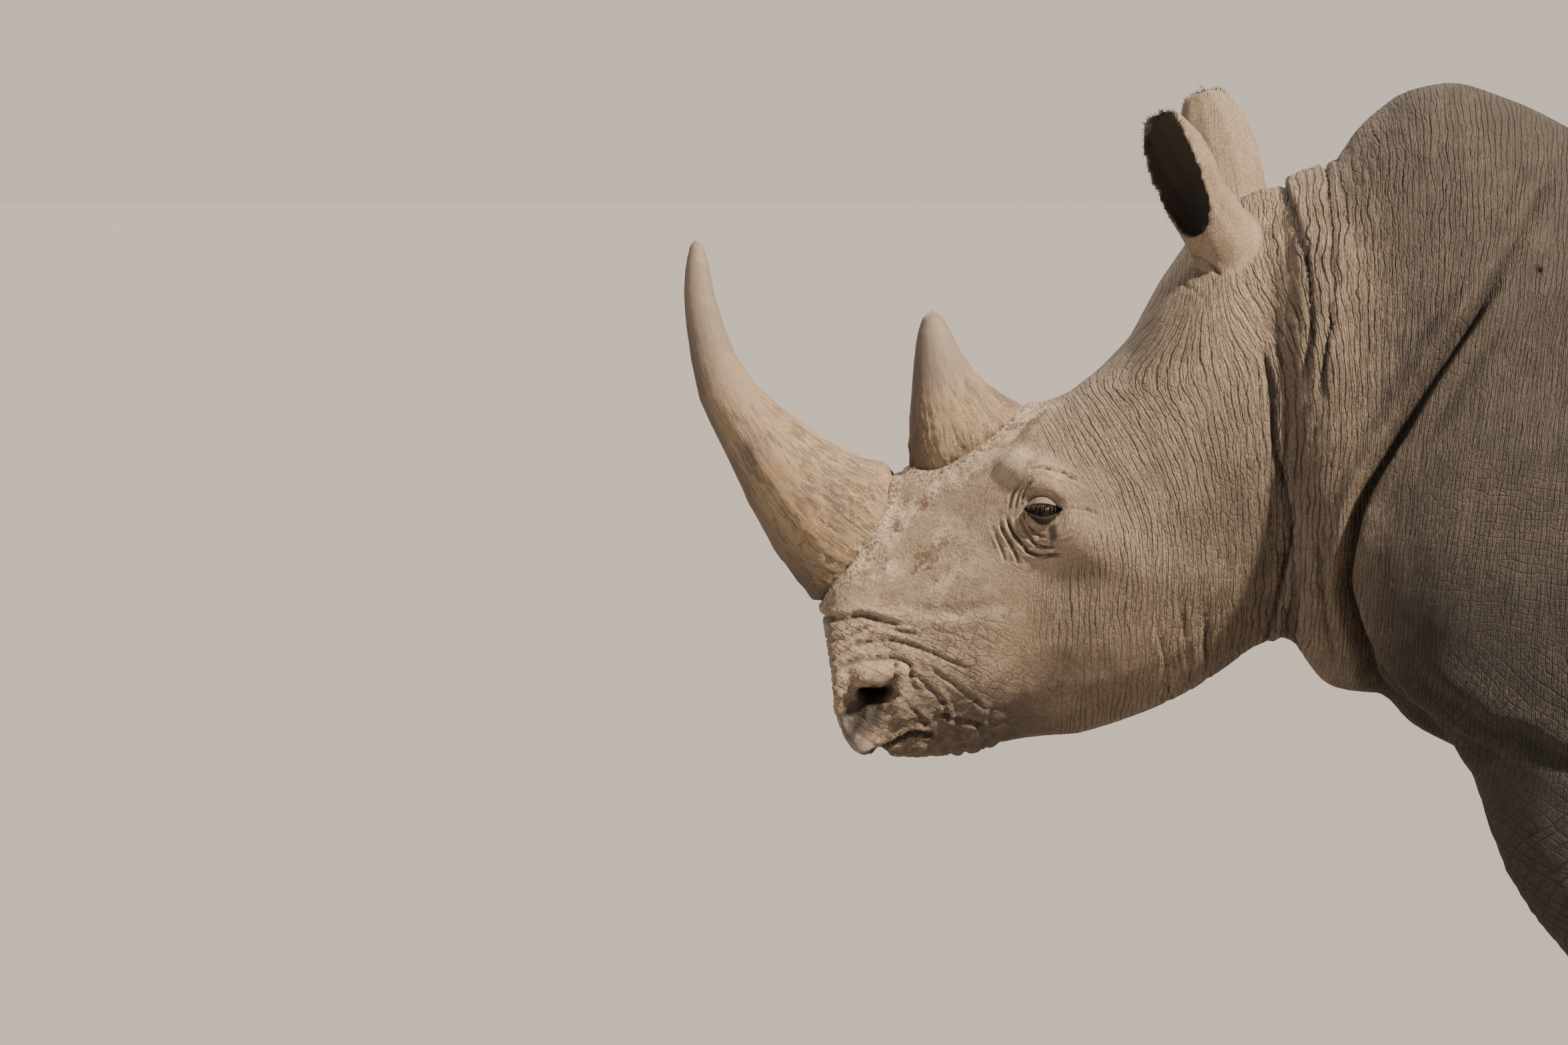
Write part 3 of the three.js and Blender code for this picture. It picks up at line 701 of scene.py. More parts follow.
def mound(points, knots, width):
    """1 along a line on the flanks, fading to 0 beside it."""
    high = np.zeros(len(points))
    near, off, place = along(points[:, (0, 2)] - (HUMP, 0), knots, 3 * width)
    high[near] = hill(off, width) * ramp(place, 0, 0.12) * ramp(place, 1, 0.88)
    return high


def carve_muzzle(points, normals):
    """Nostrils with their wings, and the lips."""
    x, _, z = places(points)
    out = ramp(np.abs(normals[:, 1]), 0.05, 0.45)
    wing = np.square((x + 0.8425) / 0.034) + np.square((z - 0.8965) / 0.0185)
    move = 0.019 * np.exp(-np.square(wing)) * out
    for height, width, knots in MUZZLE_MOUNDS:
        move += height / 1000 * mound(points, knots, width) * out
    points = points + normals * move[:, None]
    x, _, z = places(points)
    points[:, 2] += 0.009 * hill(x + 0.829, 0.009) * ramp(z, 0.800, 0.778)
    slot, trough = nostril(points)
    points[:, 1] -= np.sign(points[:, 1]) * (0.022 * slot + 0.026 * trough) * out
    return points


def nostril(points):
    """The slot close under the wing, and the trough that runs down from it."""
    x, _, z = places(points)
    brim = 0.8775 + 0.10 * np.maximum(x + 0.83, 0) - 6.0 * np.square(x + 0.842)
    under = brim - z
    slot = ramp(under, -0.0015, 0.004) * ramp(under, 0.017, 0.004)
    slot = slot * ramp(np.abs(x + 0.840), 0.030, 0.015)
    fall = np.clip(under / 0.088, 0, 1)
    middle_line = -0.8405 - 0.26 * np.clip(0.868 - z, 0, 0.08)
    trough = ramp(under, 0.0, 0.010) * (1 - fall) ** 0.8
    trough = trough * hill(x - middle_line, 0.0150 + 0.014 * fall)
    return slot * ramp(x, -0.7, -0.75), trough * ramp(x, -0.7, -0.75)


def flow(points):
    """The way the fine wrinkles run: a number that grows across them, and one that
    grows along them."""
    x, y, z = places(points)
    lean = 0.13 * ramp(z, 1.06, 1.42) * ramp(x, -0.24, -0.56)
    fold = -0.16 + 0.48 * (z - 1.05)
    behind = hill(x - fold - 0.08, 0.30) * ramp(x, -0.25, 0.0)
    across = x + lean - 0.22 * (z - 1.2) * behind + 0.30 * np.maximum(x + 0.22, 0)
    fan = 1.5 * ramp(z, 1.30, 1.50) * ramp(x, -0.08, -0.32)
    across = across + fan * np.clip(x + 0.360, -0.30, 0.03)
    leg = ramp(z, 0.80, 0.62) * ramp(x, -0.4, -0.2)
    across = across * (1 - leg) + (0.4 * x + 0.7 * y) * leg
    return across, z


def zones(points):
    """Where each kind of wrinkle lies, from 0 to 1."""
    x, _, z = places(points)
    head = ramp(x, -0.25, -0.30) * ramp(z, 0.70, 0.72)
    leg = ramp(z, 0.80, 0.66) * ramp(x, -0.3, -0.15)
    eye = from_eye(points)
    muzzle = head * np.maximum(
        ramp(x, -0.60, -0.70) * ramp(z, 1.02, 0.97),
        spot(points, (-0.66, 0.87), (0.14, 0.07)))
    lines = (1 - muzzle) * (1 - leg) * ramp(eye, 0.06, 0.12)
    lines = lines * (1 - ramp(x, -0.56, -0.64))
    lines = lines * (1 - 0.5 * ramp(x, 0.55, 0.9))
    deep = hill(x + 0.24 - 0.10 * (z - 1.1), 0.10) * ramp(z, 0.8, 0.95)
    deep = np.maximum(deep, 0.8 * spot(points, (-0.39, 0.95), (0.09, 0.10)))
    net = np.maximum(leg, spot(points, (0.05, 0.86), (0.22, 0.09)))
    net = np.maximum(net, 0.6 * ramp(z, 0.85, 0.70) * ramp(x, -0.3, -0.1))
    rings = ramp(eye, 0.13, 0.07)
    return {"muzzle": muzzle, "lines": lines, "deep": deep, "net": net,
            "rings": rings, "leg": leg, "eye": eye}


def wrinkle(points, normals, height):
    """The wrinkles big enough to model."""
    x, _, z = places(points)
    zone = zones(points)
    across, up = flow(points)
    bands = np.stack([across, points[:, 1] * 0.6, up * 0.35], axis=1)
    phase = across / 0.0195 * np.pi + 3.4 * noise(bands / 0.055, 11)
    lines = ramp(np.abs(np.sin(phase)), 0.50, 0.0)
    lines = lines * (0.25 + 0.75 * ramp(noise(points / 0.08, 17), -0.4, 0.4))
    move = -height * lines * zone["lines"] * (0.18 + 1.15 * zone["deep"])
    drift = points + 0.006 * np.stack([noise(points / 0.03, s) for s in (24, 25, 26)], 1)
    corner = spot(points, (-0.705, 0.812), (0.070, 0.045))
    move -= height * 1.7 * (1 - cells(drift, 0.024, corner > 0.05)) * ramp(
        corner, 0.05, 0.5)
    smooth = 1 - np.maximum(*nostril(points))
    shown = zone["muzzle"] * smooth * ramp(corner, 0.7, 0.3)
    shown = shown * (0.35 + 0.65 * ramp(x, -0.70, -0.80))
    stretched = np.stack([drift[:, 0] * 0.91 - drift[:, 2] * 0.41, drift[:, 1],
                          (drift[:, 0] * 0.41 + drift[:, 2] * 0.91) * 2.1], axis=1)
    move -= height * 0.9 * (1 - cells(stretched, 0.027, shown > 0.03)) * shown
    net = furrows(points, 0.045, 31, 0.18) + furrows(points, 0.036, 32, 0.18)
    move -= height * 0.8 * np.minimum(net, 1) * zone["net"]
    rings = np.sin((zone["eye"] + 0.004 * noise(points / 0.02, 41)) / 0.0072 * 6.283)
    ring_zone = ramp(zone["eye"], 0.030, 0.045) * ramp(zone["eye"], 0.10, 0.06)
    below = ramp(z, EYE_PLACE[1] + 0.03, EYE_PLACE[1] - 0.02)
    move += height * 0.25 * rings * ring_zone * below
    bands = np.stack([points[:, 0] / 4, points[:, 1] / 4, z], axis=1)
    joints = np.maximum(hill(z - 0.43, 0.09), hill(z - 0.15, 0.05)) * zone["leg"]
    move -= height * 1.4 * furrows(bands, 0.024, 51, 0.25) * joints
    return points + normals * move[:, None]


def horn_gap(points, reach):
    return np.minimum(*(nearness(points, node, reach) for node in HORNS))


def raise_collar(points, normals):
    """A rough rim of hide round the horns, and the saddle between them."""
    x, y, _ = places(points)
    gap = horn_gap(points, 0.06)
    near = ramp(gap, 0.055, 0.004) * ramp(x, -0.5, -0.6)
    lumps = noise(points / 0.021, 65) + 0.6 * noise(points / 0.009, 66)
    saddle = spot(points, (-0.795, 1.165), (0.030, 0.030)) * ramp(y, 0.09, 0.03)
    fillet = ramp(gap + 0.003 * lumps, 0.016, 0.0) * ramp(x, -0.5, -0.6)
    move = near * (0.0010 + 0.0020 * lumps) + 0.0085 * fillet + 0.010 * saddle
    return points + normals * move[:, None]


def ear_share(points):
    """1 on the ears, fading to 0 on the head."""
    gaps = [nearness(points, f"ear_{side}", 0.02) for side in SIDES]
    return ramp(np.minimum(*gaps), 0.014, 0.004)


def softness(points):
    """How far the first smoothing may go: least on ears, tail, soles and muzzle."""
    x, _, z = places(points)
    weight = np.full(len(points), 1.0)
    weight -= 0.55 * ramp(x, -0.12, -0.20) * ramp(z, 0.6, 0.7)
    weight -= 0.35 * ramp(x, -0.26, -0.32) * ramp(z, 0.6, 0.7)
    weight = np.minimum(weight, 1 - 0.30 * ramp(z, 0.80, 0.60) * ramp(x, -0.2, -0.1))
    weight = np.minimum(weight, 1 - 0.85 * ramp(z, 0.12, 0.06))
    weight = np.maximum(weight, 0.9 * spot(points, (-0.46, 1.04), (0.13, 0.09)))
    weight = np.minimum(weight, 1 - 0.96 * ramp(x, -0.68, -0.74) * ramp(z, 1.02, 0.98))
    weight = weight * (1 - 0.97 * ear_share(points)) * (1 - 0.96 * ramp(x, 2.08, 2.11))
    return np.clip(weight, 0, 1)


def face_refined(mesh):
    """The mesh with smaller cells on the muzzle, the ears and round the eyes."""
    points = points_of(mesh)
    x, _, z = places(points)
    chosen = (x < -0.66) & (z < 1.03) | (from_eye(points) < 0.115) & (x < -0.4)
    mesh = refined(mesh, chosen | (ear_share(points) > 0))
    points = points_of(mesh)
    return refined(mesh, (from_eye(points) < 0.072) & (places(points)[1] > CHEEK_SIDE))


def draw_skin(sizes):
    """The closed skin of the whole animal, ready for its colours."""
    cell = sizes.skin_cell * COARSER
    depth = sizes.fold_depth
    mesh = remeshed(merged(FLESH, 0.0006), cell)
    mesh = modified(mesh, "SMOOTH", factor=0.5, weights=softness(points_of(mesh)),
                    iterations=int(SMOOTH_ROUNDS * (0.006 / cell) ** 2))
    mesh = face_refined(mesh)
    edges = edges_of(mesh)

    def settled(points, normals):
        x, _, z = places(points)
        fine = (x < -0.64) & (z < 1.04) | (np.hypot(x + 0.6, z - 1.126) < 0.12)
        points = hug(relax(points, edges, 6, np.where(fine, 0.4, 0.0)), edges)
        points = polish(points, edges, 10, ear_share(points))
        return relax(points, edges, 4, 0.4 * ear_share(points))

    def folded(points, normals):
        points = press(points, normals, NECK_FOLDS, depth)
        points = press(points, normals, BODY_FOLDS, depth, 0.010)
        return relax(points, edges, 2, 0.3 * (1 - ear_share(points)))

    points = points_of(mesh)
    for shaped in (
            settled,
            lambda points, normals: fill_out(trim_ear(points), normals),
            folded,
            carve_muzzle,
            lambda points, normals: press(points, normals, FACE_FOLDS, depth, 0.002),
            lambda points, normals: wrinkle(points, normals, sizes.wrinkle_depth),
            raise_collar,
            lambda points, normals: press(points, normals, EYE_FOLDS, depth, 0.0005),
            lambda points, normals: carve_eyes(points)):
        points = shaped(points, normals_of(mesh))
        set_points(mesh, points)
    return mesh


def thinned(mesh, faces):
    """The mesh with fewer triangles, most of them kept on the head."""
    points = points_of(mesh)
    x, _, z = places(points)
    eye = from_eye(points) + 1.0 * (x > -0.4)
    upper = ramp(z, 0.70, 0.80)
    keep = np.full(len(points), 0.10)
    for share, where in (
            (0.14, ramp(z, 0.80, 0.70)),
            (0.20, upper * ramp(x, 0.45, 0.20)),
            (0.28, upper * ramp(x, 0.0, -0.12)),
            (0.34, upper * ramp(x, -0.2, -0.3)),
            (0.55, ramp(x, -0.62, -0.70) * ramp(z, 1.06, 1.0)),
            (0.70, ramp(eye, 0.110, 0.080)),
            (0.96, ramp(eye, 0.060, 0.045))):
        keep = np.maximum(keep, share * where)
    keep = np.where(ear_share(points) > 0.5, 0.60, keep)
    total = sum(len(p.vertices) - 2 for p in mesh.polygons)
    if total <= faces:
        return modified(mesh, "TRIANGULATE")
    return modified(mesh, "DECIMATE", ratio=faces / total, weights=1 - keep,
                    vertex_group_factor=KEEP_FACTOR, use_collapse_triangulate=True)


# ------------------------------------------------------------ materials


class Value:
    """A number on its way through a material, for sums and products."""

    def __init__(self, recipe, socket):
        self.recipe, self.socket = recipe, socket

    def __add__(self, other):
        return self.recipe.math("ADD", self, other)

    def __sub__(self, other):
        return self.recipe.math("SUBTRACT", self, other)

    def __rsub__(self, other):
        return self.recipe.math("SUBTRACT", other, self)

    def __mul__(self, other):
        return self.recipe.math("MULTIPLY", self, other)

    def scaled(self, times, plus):
        return self.recipe.math("MULTIPLY_ADD", self, times, plus)


class Recipe:
    """A material's nodes, joined by short calls."""

    def __init__(self, name):
        self.material = bpy.data.materials.new(name)
        self.material.use_nodes = True
        self.tree = self.material.node_tree
        self.tree.nodes.clear()
        self.place = self.add("TexCoord", "Object")

    def feed(self, socket, value):
        if isinstance(value, Value):
            self.tree.links.new(value.socket, socket)
        else:
            socket.default_value = value

    def node(self, kind, inputs, settings=()):
        node = self.tree.nodes.new("ShaderNode" + kind)
        for key, value in dict(settings).items():
            setattr(node, key, value)
        for key, value in inputs.items():
            if isinstance(key, str):
                key = key.replace("_", " ")
            self.feed(node.inputs[key], value)
        return node

    def add(self, kind, output, settings=(), **inputs):
        return Value(self, self.node(kind, inputs, settings).outputs[output])

    def math(self, operation, *values):
        node = self.node("Math", dict(enumerate(values)), {"operation": operation})
        return Value(self, node.outputs[0])

    def total(self, *parts):
        """The sum of (weight, height) pairs."""
        sum_of = 0.0
        for weight, height in parts:
            sum_of = height.scaled(weight, sum_of)
        return sum_of

    def read(self, name, kind="Fac"):
        return self.add("Attribute", kind, {"attribute_name": name})

    def stretch(self, place, scale, turn=(0, 0, 0)):
        return self.add("Mapping", 0, Vector=place, Scale=scale, Rotation=turn)

    def noise(self, place, scale, detail=2.0, rough=0.5, warp=0.0, output="Fac"):
        return self.add("TexNoise", output, Vector=place, Scale=scale, Detail=detail,
                        Roughness=rough, Distortion=warp)

    def cracks(self, place, scale, low, high):
        """0 in the cracks between cells, 1 on the cells."""
        gap = self.add("TexVoronoi", "Distance", {"feature": "DISTANCE_TO_EDGE"},
                       Vector=place, Scale=scale)
        return self.ramp(gap, low, high)

    def grooves(self, place, spacing, width=0.5, wander=8.0, turn=0.0, drift=9.0):
        """0 along furrows that lie side by side and wander, 1 on the ridges between
        them. They run up the third axis, or lean from it by turn."""
        if turn:
            place = self.stretch(place, (1.0, 1.0, 1.0), (0, math.radians(turn), 0))
        wide, tall = 1 / (3.5 * spacing), 1 / (drift * spacing)
        push = self.noise(self.stretch(place, (wide, wide, tall)), 1.0)
        across = self.add("SeparateXYZ", "X", Vector=place)
        phase = self.total((math.pi / spacing, across), (wander, push))
        return self.ramp(self.math("ABSOLUTE", self.math("SINE", phase)), 0.0, width)

    def ramp(self, value, low, high, bottom=0.0, top=1.0):
        return self.add("MapRange", "Result", {"interpolation_type": "SMOOTHSTEP"},
                        Value=value, From_Min=low, From_Max=high, To_Min=bottom,
                        To_Max=top)

    def mix(self, share, first, second):
        node = self.node("Mix", {0: share, 6: first, 7: second}, {"data_type": "RGBA"})
        return Value(self, node.outputs[2])

    def paint(self, colour_of, *coats):
        """A colour under coats of (share, colour), the last one on top."""
        for share, coat in coats:
            colour_of = self.mix(share, colour_of, coat)
        return colour_of

    def warped(self, amount, scale, place=None):
        """A place pushed about by a noise, for patterns that wander."""
        place = place or self.place
        push = self.noise(place, scale, output="Color")
        for operation, by in (("SUBTRACT", 0.5), ("MULTIPLY", amount)):
            node = self.node("VectorMath", {0: push, 1: (by,) * 3},
                             {"operation": operation})
            push = Value(self, node.outputs[0])
        node = self.node("VectorMath", {0: place, 1: push}, {"operation": "ADD"})
        return Value(self, node.outputs[0])

    def finish(self, height=None, **surface):
        """Ends in one surface, with the height in millimetres as its bump."""
        if height is not None:
            surface["Normal"] = self.add("Bump", 0, Height=height, Distance=0.001,
                                         Strength=1.0)
        shader = self.node("BsdfPrincipled", surface)
        self.node("OutputMaterial", {"Surface": Value(self, shader.outputs[0])})
        return self.material


def hide_material(colours):
    r = Recipe("hide")
    lines, deep, net, muzzle, rings, crust = map(
        r.read, ("lines", "deep", "net", "muzzle", "rings", "crust"))
    dark, bare, hatched, scurf = map(r.read, ("dark", "bare", "hatched", "scurf"))
    broad = r.noise(r.place, 5.0, 3.0)
    blotch = r.noise(r.place, 26.0, 4.0, 0.6)
    speck = r.noise(r.place, 260.0, 3.0, 0.65)
    grain = r.noise(r.place, 900.0, 2.0, 0.6)
    flow = r.warped(0.0016, 150.0, r.read("flow", "Vector"))
    # Long furrows of two spacings that take turns, so that they fork and join.
    swap = r.ramp(r.noise(r.stretch(flow, (30.0, 10.0, 11.0)), 1.0), 0.46, 0.54)
    long = r.mix(swap, r.grooves(flow, 0.0074), r.grooves(flow, 0.0090, wander=7.0))
    long = r.mix(deep, long, r.grooves(flow, 0.0100, 0.60, 9.0, drift=6.0))
    fine = r.grooves(flow, 0.0036, 0.6, 7.0)
    short = r.cracks(r.stretch(flow, (125.0, 40.0, 55.0)), 1.0, 0.0, 0.12)
    cross = r.grooves(flow, 0.0105, 0.35, 9.0, 84.0)
    patchy = r.noise(r.stretch(flow, (60.0, 20.0, 14.0)), 1.0)
    lined = lines * r.ramp(patchy, 0.36, 0.62, 0.45, 1.0)
    # Lozenges on the lips and legs, where two sets of furrows cross.
    lip = r.math("MINIMUM", r.grooves(flow, 0.0140, 0.60, 9.0, 62.0),
                 r.grooves(flow, 0.0180, 0.50, 10.0, -34.0))
    lip = r.ramp(lip + r.ramp(blotch, 0.40, 0.60, 0.0, 0.7), 0.0, 1.0)
    lip_cells = r.cracks(r.stretch(r.warped(0.02, 30.0), (44.0, 60.0, 82.0),
                                   (0, math.radians(-28), 0)), 1.0, 0.0, 0.12)
    lip_fine = r.cracks(r.warped(0.012, 28.0), 170.0, 0.0, 0.16)
    knit = r.math("MINIMUM", r.grooves(flow, 0.0150, 0.45, 10.0, 52.0),
                  r.grooves(flow, 0.0172, 0.40, 10.0, -40.0))
    arcs = r.grooves(r.read("ring_place", "Vector"), 0.0046, 0.6, 9.0)
    arcs_shown = r.ramp(r.noise(r.place, 55.0), 0.42, 0.60)
    lumps = r.noise(r.place, 130.0, 5.0, 0.7)
    flakes = r.cracks(r.warped(0.03, 30.0), 120.0, 0.0, 0.12)
    creases = r.grooves(r.warped(0.012, 40.0), 0.0130, 0.10, 16.0, 82.0)
    # Each layer stands a fraction of a millimetre to three millimetres high.
    height = r.total(
        (deep.scaled(1.6, 2.6) * lined, long), (lines * 0.75, fine),
        (lines * 0.70, short), (hatched, cross), (muzzle * 0.75, lip),
        (muzzle * 0.50, lip_cells), (muzzle * 0.16, lip_fine), (net * 1.8, knit),
        (net * 0.6, lip_fine), (rings * 0.55 * arcs_shown, arcs), (crust * 2.6, lumps),
        (crust * 0.6, flakes), (scurf * 0.35, creases), (scurf * 1.5, lumps),
        (0.85, speck), (0.30, grain))
    # Darker in the wrinkles and between the cells: painted shade, over some darker hide in
    # their bottoms.
    furrow_tone_and_shade = r.math("MAXIMUM", lined * (1.0 - long),
                    muzzle * 0.40 * (1.0 - lip * lip_cells))
    furrow_tone_and_shade = r.math("MAXIMUM", furrow_tone_and_shade, net * (1.0 - knit))
    # Falls where the hide is dark or in painted shade; dust and pale specks lie mostly
    # elsewhere.
    pale_and_unshaded = dark.scaled(-0.88, 1.0)
    dusty = r.ramp(blotch + broad * 0.6, 0.62, 1.05)
    stained = r.ramp(r.noise(r.place, 3.1, 4.0, 0.6), 0.52, 0.68)
    patch = r.ramp(r.noise(r.warped(0.05, 9.0), 17.0, 6.0, 0.70), 0.47, 0.58)
    dirt = r.ramp(r.noise(r.warped(0.03, 14.0), 24.0, 6.0, 0.72), 0.53, 0.62)
    flaky = r.ramp(lumps + speck * 0.5, 0.62, 0.92)
    furrow_tone_and_shade_colour, shade, dust = colours.hide_furrow_tone_and_shade, colours.hide_dark, colours.dust
    # The first coat darkens by the dark mask: partly the hide's darker tone, partly painted
    # shade. The colour called shade is the dark hide, laid also for stains and in the bare
    # skin.
    colour_of = r.paint(
        colours.hide, (dark, shade), (dusty * (pale_and_unshaded * 0.36), dust),
        (stained * 0.25, shade), (scurf * (patch * 0.85), colours.crust),
        (scurf * (dirt * 0.92), colours.stain),
        (crust * flaky.scaled(0.7, 0.1), colours.crust),
        (crust * r.ramp(lumps, 0.52, 0.34, 0.0, 0.7), colours.stain),
        (furrow_tone_and_shade * 0.76, furrow_tone_and_shade_colour),
        # Painted shade in the hollows of the hide.
        (r.ramp(r.read("hollow"), 0.0, 1.0, 0.0, 0.70), furrow_tone_and_shade_colour),
        (r.ramp(speck, 0.32, 0.58, 0.30, 0.0), furrow_tone_and_shade_colour),
        (pale_and_unshaded * r.ramp(speck, 0.50, 0.72, 0.0, 0.30), dust),
        (bare, r.mix(r.ramp(blotch, 0.35, 0.65), colours.bare, shade)),
        # Painted shade down the nostril's trough.
        (r.read("trough") * 0.92, furrow_tone_and_shade_colour),
        # inside lays near black painted shade in the nostrils, along the mouth and between the
        # lids, and darkens the damp skin under the eye.
        (r.read("ear_inside"), colours.ear), (r.read("inside"), colours.inside))
    moist = r.math("MAXIMUM", bare, r.read("wet")) * 0.38
    return r.finish(height, Base_Color=colour_of, Specular_IOR_Level=0.35,
                    Roughness=r.ramp(speck, 0.2, 0.8, 0.74, 0.92) - moist)


def horn_material(colours):
    r = Recipe("horn")
    fibre_place = r.read("fibre", "Vector")
    base, tip, grey = map(r.read, ("base", "tip", "grey"))
    fibre = r.noise(fibre_place, 230.0, 5.0, 0.75, 0.4)
    fibre_fine = r.noise(fibre_place, 800.0, 3.0, 0.65)
    shreds = r.noise(r.stretch(fibre_place, (1.0, 1.0, 3.5)), 170.0, 5.0, 0.72, 0.6)
    patches = r.noise(r.warped(0.03, 20.0), 30.0, 6.0, 0.68)
    clouds = r.noise(r.place, 12.0, 4.0, 0.6)
    crumbs = r.noise(r.place, 240.0, 6.0, 0.78)
    worn = 1.0 - tip
    height = r.total((base.scaled(1.2, 0.35), fibre), (worn * 0.40, fibre_fine),
                     (base.scaled(3.2, 0.25), shreds), (base.scaled(2.2, 0.20), crumbs))
    tan = r.ramp(patches, 0.46, 0.60) * worn
    grubby = r.ramp(shreds + clouds * 0.7, 0.80, 1.02)
    streak = r.ramp(fibre + patches * 0.5, 0.76, 0.94)
    pale = r.ramp(crumbs + patches * 0.6, 0.82, 1.0)
    dark = colours.horn_dark
    colour_of = r.paint(
        colours.horn, (tan * 0.85, colours.horn_tan), (grubby * 0.78, dark),
        (streak * 0.45, dark), (grey * 0.75, colours.horn_tip),
        (r.ramp(fibre_fine, 0.62, 0.35, 0.0, 0.35), dark),
        # The last coat is painted shade down the horn's front side.
        (pale * base.scaled(0.65, 0.1), colours.crust), (r.read("front") * 0.75, dark))
    return r.finish(height, Base_Color=colour_of, Roughness=0.84 - tip * 0.34,
                    Specular_IOR_Level=0.35)


def nail_material(colours):
    r = Recipe("nail")
    bands = r.noise(r.stretch(r.place, (12.0, 12.0, 160.0)), 1.0, 4.0, 0.6)
    fibre = r.noise(r.stretch(r.place, (260.0, 260.0, 30.0)), 1.0, 3.0, 0.6)
    scuff = r.noise(r.place, 60.0, 5.0, 0.7)
    height = r.total((0.5, bands), (0.35, fibre), (0.5, scuff))
    colour_of = r.paint(
        colours.nail, (r.ramp(scuff, 0.45, 0.7, 0.0, 0.6), colours.dust),
        (r.ramp(bands, 0.5, 0.75, 0.0, 0.45), colours.hide_dark))
    return r.finish(height, Base_Color=colour_of, Specular_IOR_Level=0.4,
                    Roughness=r.ramp(scuff, 0.3, 0.7, 0.5, 0.75))


def eye_material(colours):
    r = Recipe("eye")
    ring = r.read("ring")
    spokes = r.add("CombineXYZ", 0, X=r.read("turn"), Y=ring * 0.15)
    threads = r.noise(spokes, 26.0, 3.0)
    colour_of = r.paint(
        colours.iris, (r.ramp(threads, 0.35, 0.7, 0.0, 0.6), colours.inside),
        (r.ramp(ring, 0.0050, 0.0058, 1.0, 0.0), (0.002, 0.002, 0.002, 1)),
        (r.ramp(ring, 0.0105, 0.0130), (0.010, 0.006, 0.005, 1)))
    return r.finish(threads * 0.05, Base_Color=colour_of, Roughness=0.24,
                    Specular_IOR_Level=0.10, Coat_Weight=0.05, Coat_Roughness=0.05)


def hair_material(name, tone_of, colours):
    r = Recipe(name)
    tone = r.ramp(r.noise(r.place, 140.0), 0.35, 0.75, 0.0, 0.25)
    return r.finish(Base_Color=r.mix(tone, tone_of, colours.hide_dark), Roughness=0.5)


def floor_material():
    r = Recipe("studio_floor")
    tone = r.mix(r.noise(r.place, 0.6, 3.0), (0.309, 0.284, 0.268, 1),
                 (0.323, 0.297, 0.281, 1))
    return r.finish(Base_Color=tone, Roughness=0.9)


# ------------------------------------------------------------ pieces


PAINTED_SHADE_SPOTS = (
    # painted shade behind the cheek, between the nape folds, on the upper lid and where the
    # ear's shadow falls on the forehead: how much darker the hide is, where, and its half sizes
    (0.42, (-0.36, 1.14), (0.09, 0.24)),
    (0.38, (-0.215, 1.47), (0.030, 0.10)),
    (0.38, (-0.599, 1.146), (0.028, 0.009)),
    (0.22, (-0.45, 1.38), (0.09, 0.10)),
)
BARE_LINE = [(-862, 862), (-866, 853), (-880, 829), (-870, 806),
             (-852, 788), (-846, 780)]


def darkness_and_painted_shade(points):
    """How dark the hide is painted: pale on the head, dark on the back, belly and legs, partly
    the hide's own darker tone and partly painted shade.
    """
    x, _, z = places(points)
    dark = 0.12 + 0.76 * ramp(x, -0.27, -0.06) + 0.08 * ramp(x, 0.0, 0.3)
    # Darker low on the body and legs, partly painted shade.
    dark += 0.40 * ramp(z, 1.15, 0.75) * ramp(x, -0.2, 0.0)
    # Painted shade in the valley behind the jaw.
    dark += 0.36 * hill(x + 0.27 - 0.10 * (z - 1.1), 0.075) * ramp(z, 1.45, 1.25)
    # Darker low on the muzzle and low on the jaw.
    dark += 0.60 * ramp(z, 0.92, 0.83) * ramp(x, -0.87, -0.76) * ramp(x, -0.50, -0.66)
    dark += 0.16 * ramp(z, 1.00, 0.88) * hill(x + 0.50, 0.16)
    # Spots of painted shade.
    for much, at, size in PAINTED_SHADE_SPOTS:
        dark += much * spot(points, at, size)
    return np.clip(dark, 0, 1)


def ear_cups(points, normals, edges):
    """1 on the inner side of the ears."""
    inner = np.zeros(len(points))
    ear = ear_share(points) > 0.5
    for sign in EAR_LINES:
        foot, _, way = ear_line(sign)
        axis = foot + np.outer((points - foot) @ way, way)
        facing = np.einsum("ij,ij->i", axis - points, normals)
        here = ear & (np.sign(points[:, 1]) == sign)
        inner[here] = ramp(facing[here], 0.000, 0.006)
    spread = relax(np.repeat(inner[:, None], 3, axis=1), edges, 4, 0.5)[:, 0]
    return ramp(spread, 0.30, 0.75)


def wet_parts(points, slot, trough):
    """Painted shade in the nostrils, along the mouth and in the slit between the lids, and the
    damp skin under the eye.
    """
    x, y, z = places(points)
    a, b = x - EYE_PLACE[0], z - EYE_PLACE[1]
    top, bottom, bend = eye_slit(a)
    lids = np.minimum(top + 0.0012 - b, b - bottom + 0.0115 * np.maximum(bend, 0) + 0.001)
    # The slit between the lids is painted near black as painted shade.
    slit = ramp(np.where(bend > -0.15, lids, -1), -0.0012, 0.0010) * (y > CHEEK_SIDE)
    # The nostril's slot and trough are painted dark as painted shade.
    inside = np.maximum(ramp(slot, 0.30, 0.95), ramp(trough, 0.60, 1.05) * 0.9)
    inside = np.maximum(inside, 0.97 * slit)
    # Painted shade along the mouth.
    mouth = np.zeros(len(points))
    near, off, place = along(points[:, (0, 2)] - (HUMP, 0), FACE_FOLDS["mouth"][4], 0.02)
    mouth[near] = hill(off, 0.0030) * ramp(place, 1.0, 0.9) * (x[near] > -0.86)
    wet = spot(points, (-0.585, 1.100), (0.007, 0.018)) * (y > CHEEK_SIDE)
    wet = ramp(wet + 0.25 * noise(points / 0.006, 73), 0.25, 0.75)
    return inside, np.maximum(inside, np.maximum(0.8 * mouth, 0.82 * wet)), wet


